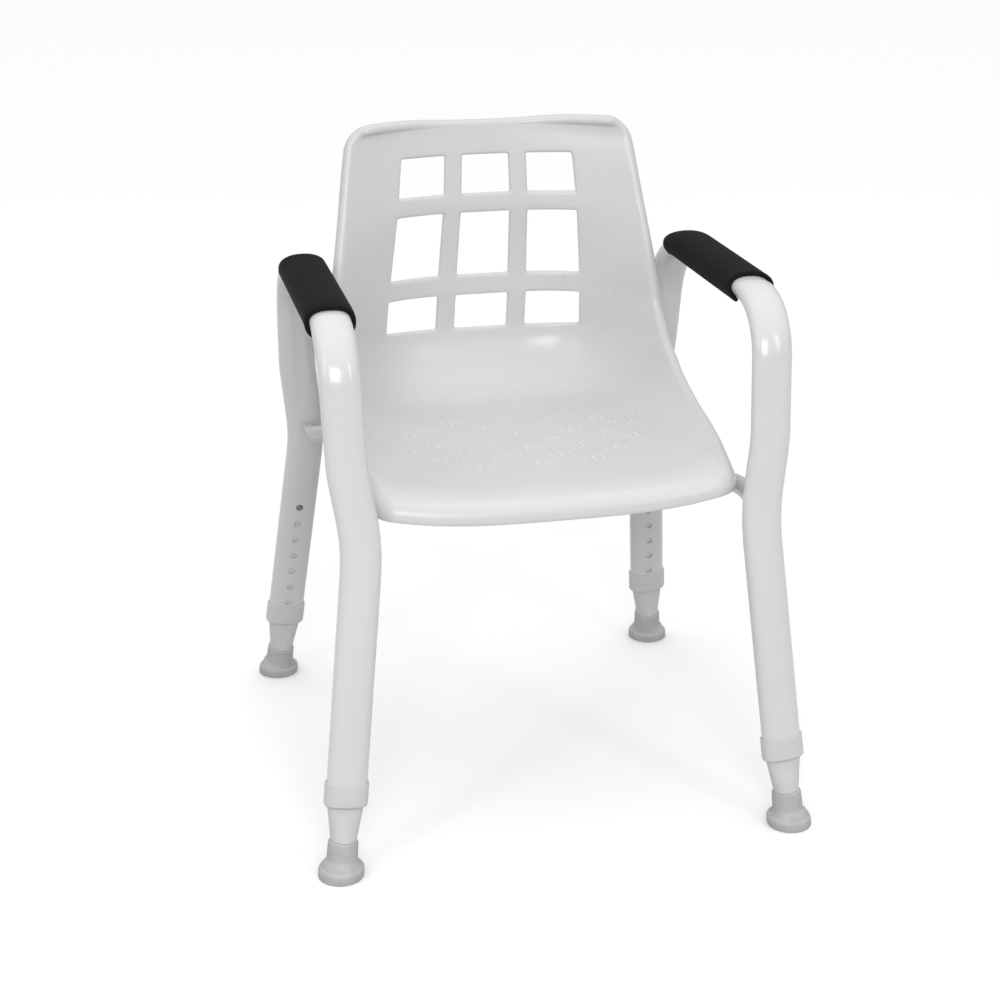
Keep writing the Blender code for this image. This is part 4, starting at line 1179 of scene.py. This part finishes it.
for corner in CORNERS:
    low = along_leg(corner, COLLAR_BOTTOM)
    high = low + COLLAR_LENGTH
    wide, deep = OVAL_HALF_WIDTH + COLLAR_WALL, OVAL_HALF_DEPTH + COLLAR_WALL
    on_tube = (OVAL_HALF_WIDTH + GAP, OVAL_HALF_DEPTH + GAP)
    guide = (LEG_HALF_WIDTH + GAP, LEG_HALF_DEPTH + GAP)
    profile = []
    for turn in quarter(6, 7):
        cut = COLLAR_ROUND * (1 - math.sin(turn))
        profile.append((low + COLLAR_ROUND * (1 - math.cos(turn)), wide - cut, deep - cut))
    profile += [
        (high - COLLAR_EDGE, wide, deep), (high, wide - COLLAR_EDGE, deep - COLLAR_EDGE),
        (high, *on_tube), (low + COLLAR_LIP, *on_tube), (low + COLLAR_LIP, *guide), (low, *guide),
    ]
    collar = loft(profile, leg_place[corner], OVAL_SIDES, OVAL_POWER, closed=True)
    finish_piece(collar, f"{corner}_moulded_collar", collar_plastic, "frame", f"leg_collar_{corner}")

# %% [markdown]
# ## Sliding legs
#
# Each leg is an inner oval tube, painted like the frame, with one hole for its button. A moulded
# plug closes its lower end and tapers from the tube's oval to a round neck that goes into the
# ferrule.

# %% Leg tubes
STOP_CLEARANCE = 0.8 * MM
LEG_TOP_ABOVE_BUTTON = 30 * MM
LEG_RINGS = 16
PLUG_SPIGOT = 22 * MM
PLUG_STEPS = 12
PLUG_NECK_RADIUS = 14.8 * MM
STEM_RADIUS = 10.8 * MM
FERRULE_RADIUS = 26 * MM
FERRULE_NECK_RADIUS = 17.8 * MM
FERRULE_TOP = 43.5 * MM
FERRULE_SOLE = 13 * MM

for corner in CORNERS:
    body = f"leg_{corner}"
    place = leg_place[corner]
    shoulder = along_leg(corner, COLLAR_BOTTOM) - STOP_CLEARANCE
    button = along_leg(corner, BUTTON_HEIGHT)
    top = button + LEG_TOP_ABOVE_BUTTON
    outer = (LEG_HALF_WIDTH, LEG_HALF_DEPTH)
    inner = [half - LEG_WALL for half in outer]
    start = shoulder + GAP
    heights = [start + (top - start) * k / LEG_RINGS for k in range(LEG_RINGS + 1)]
    profile = [(height, *outer) for height in heights] + [(height, *inner) for height in reversed(heights)]
    tube = loft(profile, place, OVAL_SIDES, OVAL_POWER, closed=True)
    finish_piece(
        tube, f"{corner}_inner_tube", powder_coat, body, f"leg_tube_{corner}",
        modifiers=(hole_row(corner, [button]),),
    )

    neck = FERRULE_TOP + GAP
    stations = [(height, STEM_RADIUS, STEM_RADIUS, 2.0) for height in (FERRULE_SOLE + 2 * GAP, neck)]
    for step in range(PLUG_STEPS + 1):
        share = step / PLUG_STEPS
        size = [PLUG_NECK_RADIUS + (half - PLUG_NECK_RADIUS) * share for half in outer]
        stations.append((neck + (shoulder - neck) * share, *size, 2 + (OVAL_POWER - 2) * share))
    for height in (shoulder, shoulder + PLUG_SPIGOT):
        stations.append((height, inner[0] - GAP, inner[1] - GAP, OVAL_POWER))
    plug = bmesh.new()
    bridge(plug, [
        ring(plug, raised(place, height), width, depth, OVAL_SIDES, power)
        for height, width, depth, power in stations
    ])
    finish_piece(plug, f"{corner}_tapered_plug", plug_plastic, body, f"foot_plug_{corner}")

# %% [markdown]
# ## Ferrules
#
# The ferrule is one rubber moulding: a flat sole, a short upright band, a flare that turns up to
# the neck, and a soft shoulder where the plug goes in. The sole lies level on the floor and the
# neck leans with the leg, so its lower rings are level and its upper rings are square to the leg.

# %% Ferrules
SOLE_EDGE = 1.6 * MM
BAND_TOP = 8.6 * MM
FLARE_RISE = 4.6 * MM
FLARE_IN = 4 * MM
NECK_FOOT = 16 * MM
NECK_FLARE = 3.4 * MM
NECK_FLARE_HEIGHT = 7 * MM
NECK_STEP = 0.6 * MM
SHOULDER_ROUND = 3.2 * MM

level = [
    (0.0, FERRULE_RADIUS - SOLE_EDGE), (0.5 * MM, FERRULE_RADIUS - 0.5 * MM), (SOLE_EDGE, FERRULE_RADIUS),
    (BAND_TOP, FERRULE_RADIUS),
]
for turn in quarter(6, 6)[1:]:
    level.append((BAND_TOP + FLARE_RISE * math.sin(turn), FERRULE_RADIUS - FLARE_IN * (1 - math.cos(turn))))
upper = []
for share in (0.0, 0.25, 0.5, 0.75, 1.0):
    radius = FERRULE_NECK_RADIUS + NECK_FLARE * (1 - share) ** 2
    upper.append((NECK_FOOT + NECK_FLARE_HEIGHT * share, radius))
for turn in quarter(5, 6):
    cut = SHOULDER_ROUND * (1 - math.cos(turn))
    height = FERRULE_TOP - SHOULDER_ROUND * (1 - math.sin(turn))
    upper.append((height, FERRULE_NECK_RADIUS - NECK_STEP - cut))
upper += [(FERRULE_TOP, STEM_RADIUS + GAP), (FERRULE_SOLE + GAP, STEM_RADIUS + GAP)]

for corner in CORNERS:
    up = leg_up[corner]
    foot = foot_point[corner]
    places = [(Matrix.Translation(foot + up * (height / up.z)), radius) for height, radius in level]
    places += [(raised(leg_place[corner], height), radius) for height, radius in upper]
    rubber = bmesh.new()
    bridge(rubber, [ring(rubber, spot, radius, radius, OVAL_SIDES) for spot, radius in places])
    finish_piece(rubber, f"{corner}_rubber_foot", ferrule_rubber, f"leg_{corner}", f"foot_ferrule_{corner}")

# %% [markdown]
# ## Spring clips and snap buttons
#
# A clip is a strip of spring steel folded like a hairpin inside the leg. One leaf lies on the far
# wall and the other presses the button through both tubes. The button has a flange that stops it,
# and a domed tip, smooth to the thumb.

# %% Clips
CLIP_WIDTH = 9 * MM
CLIP_THICKNESS = 0.8 * MM
CLIP_BELOW_BUTTON = 18 * MM
CLIP_ABOVE_BUTTON = 22 * MM
CLIP_STAND_OFF = 0.5 * MM
BUTTON_BEHIND_WALL = 0.5 * MM
BUTTON_FLANGE_RADIUS = 5.5 * MM
BUTTON_FLANGE = 1.2 * MM
BUTTON_RADIUS = 4 * MM
BUTTON_PROUD = 1.6 * MM
DOME_HEIGHT = 2.2 * MM
FOLD_STEPS = 16
CLIP_SIDES = 16
CLIP_POWER = 6.0           # a flat oval that is almost a rectangle

for corner, (side, end) in CORNERS.items():
    face = -end
    button = along_leg(corner, BUTTON_HEIGHT)
    inner = LEG_HALF_DEPTH - LEG_WALL
    leaf = inner - CLIP_STAND_OFF - CLIP_THICKNESS / 2 - BUTTON_BEHIND_WALL
    line = [Vector((0, -face * leaf, button - CLIP_BELOW_BUTTON))]
    for step in range(FOLD_STEPS + 1):
        turn = math.pi * step / FOLD_STEPS
        height = button + CLIP_ABOVE_BUTTON + leaf * math.sin(turn)
        line.append(Vector((0, -face * leaf * math.cos(turn), height)))
    line.append(Vector((0, face * leaf, button + BUTTON_FLANGE_RADIUS + 2 * GAP)))
    strip = bmesh.new()
    bridge(strip, [
        ring(strip, leg_place[corner] @ spot, CLIP_WIDTH / 2, CLIP_THICKNESS / 2, CLIP_SIDES, CLIP_POWER)
        for spot in along_path(line)
    ])
    finish_piece(strip, f"{corner}_folded_clip", plated_steel, f"leg_{corner}", f"spring_clip_{corner}")

    spot = raised(leg_place[corner], button) @ Matrix.Rotation(-face * math.pi / 2, 4, "X")
    tip = OVAL_HALF_DEPTH + BUTTON_PROUD
    seat = inner - BUTTON_BEHIND_WALL
    profile = [(seat - BUTTON_FLANGE, BUTTON_FLANGE_RADIUS), (seat, BUTTON_FLANGE_RADIUS)]
    profile.append((seat, BUTTON_RADIUS))
    for turn in quarter(7, 7):
        profile.append((tip - DOME_HEIGHT * (1 - math.sin(turn)), BUTTON_RADIUS * math.cos(turn)))
    profile.append((tip, BUTTON_RADIUS * 0.08))
    pin = turned(spot, profile)
    finish_piece(pin, f"{corner}_domed_button", plated_steel, f"button_{corner}", f"snap_button_{corner}")
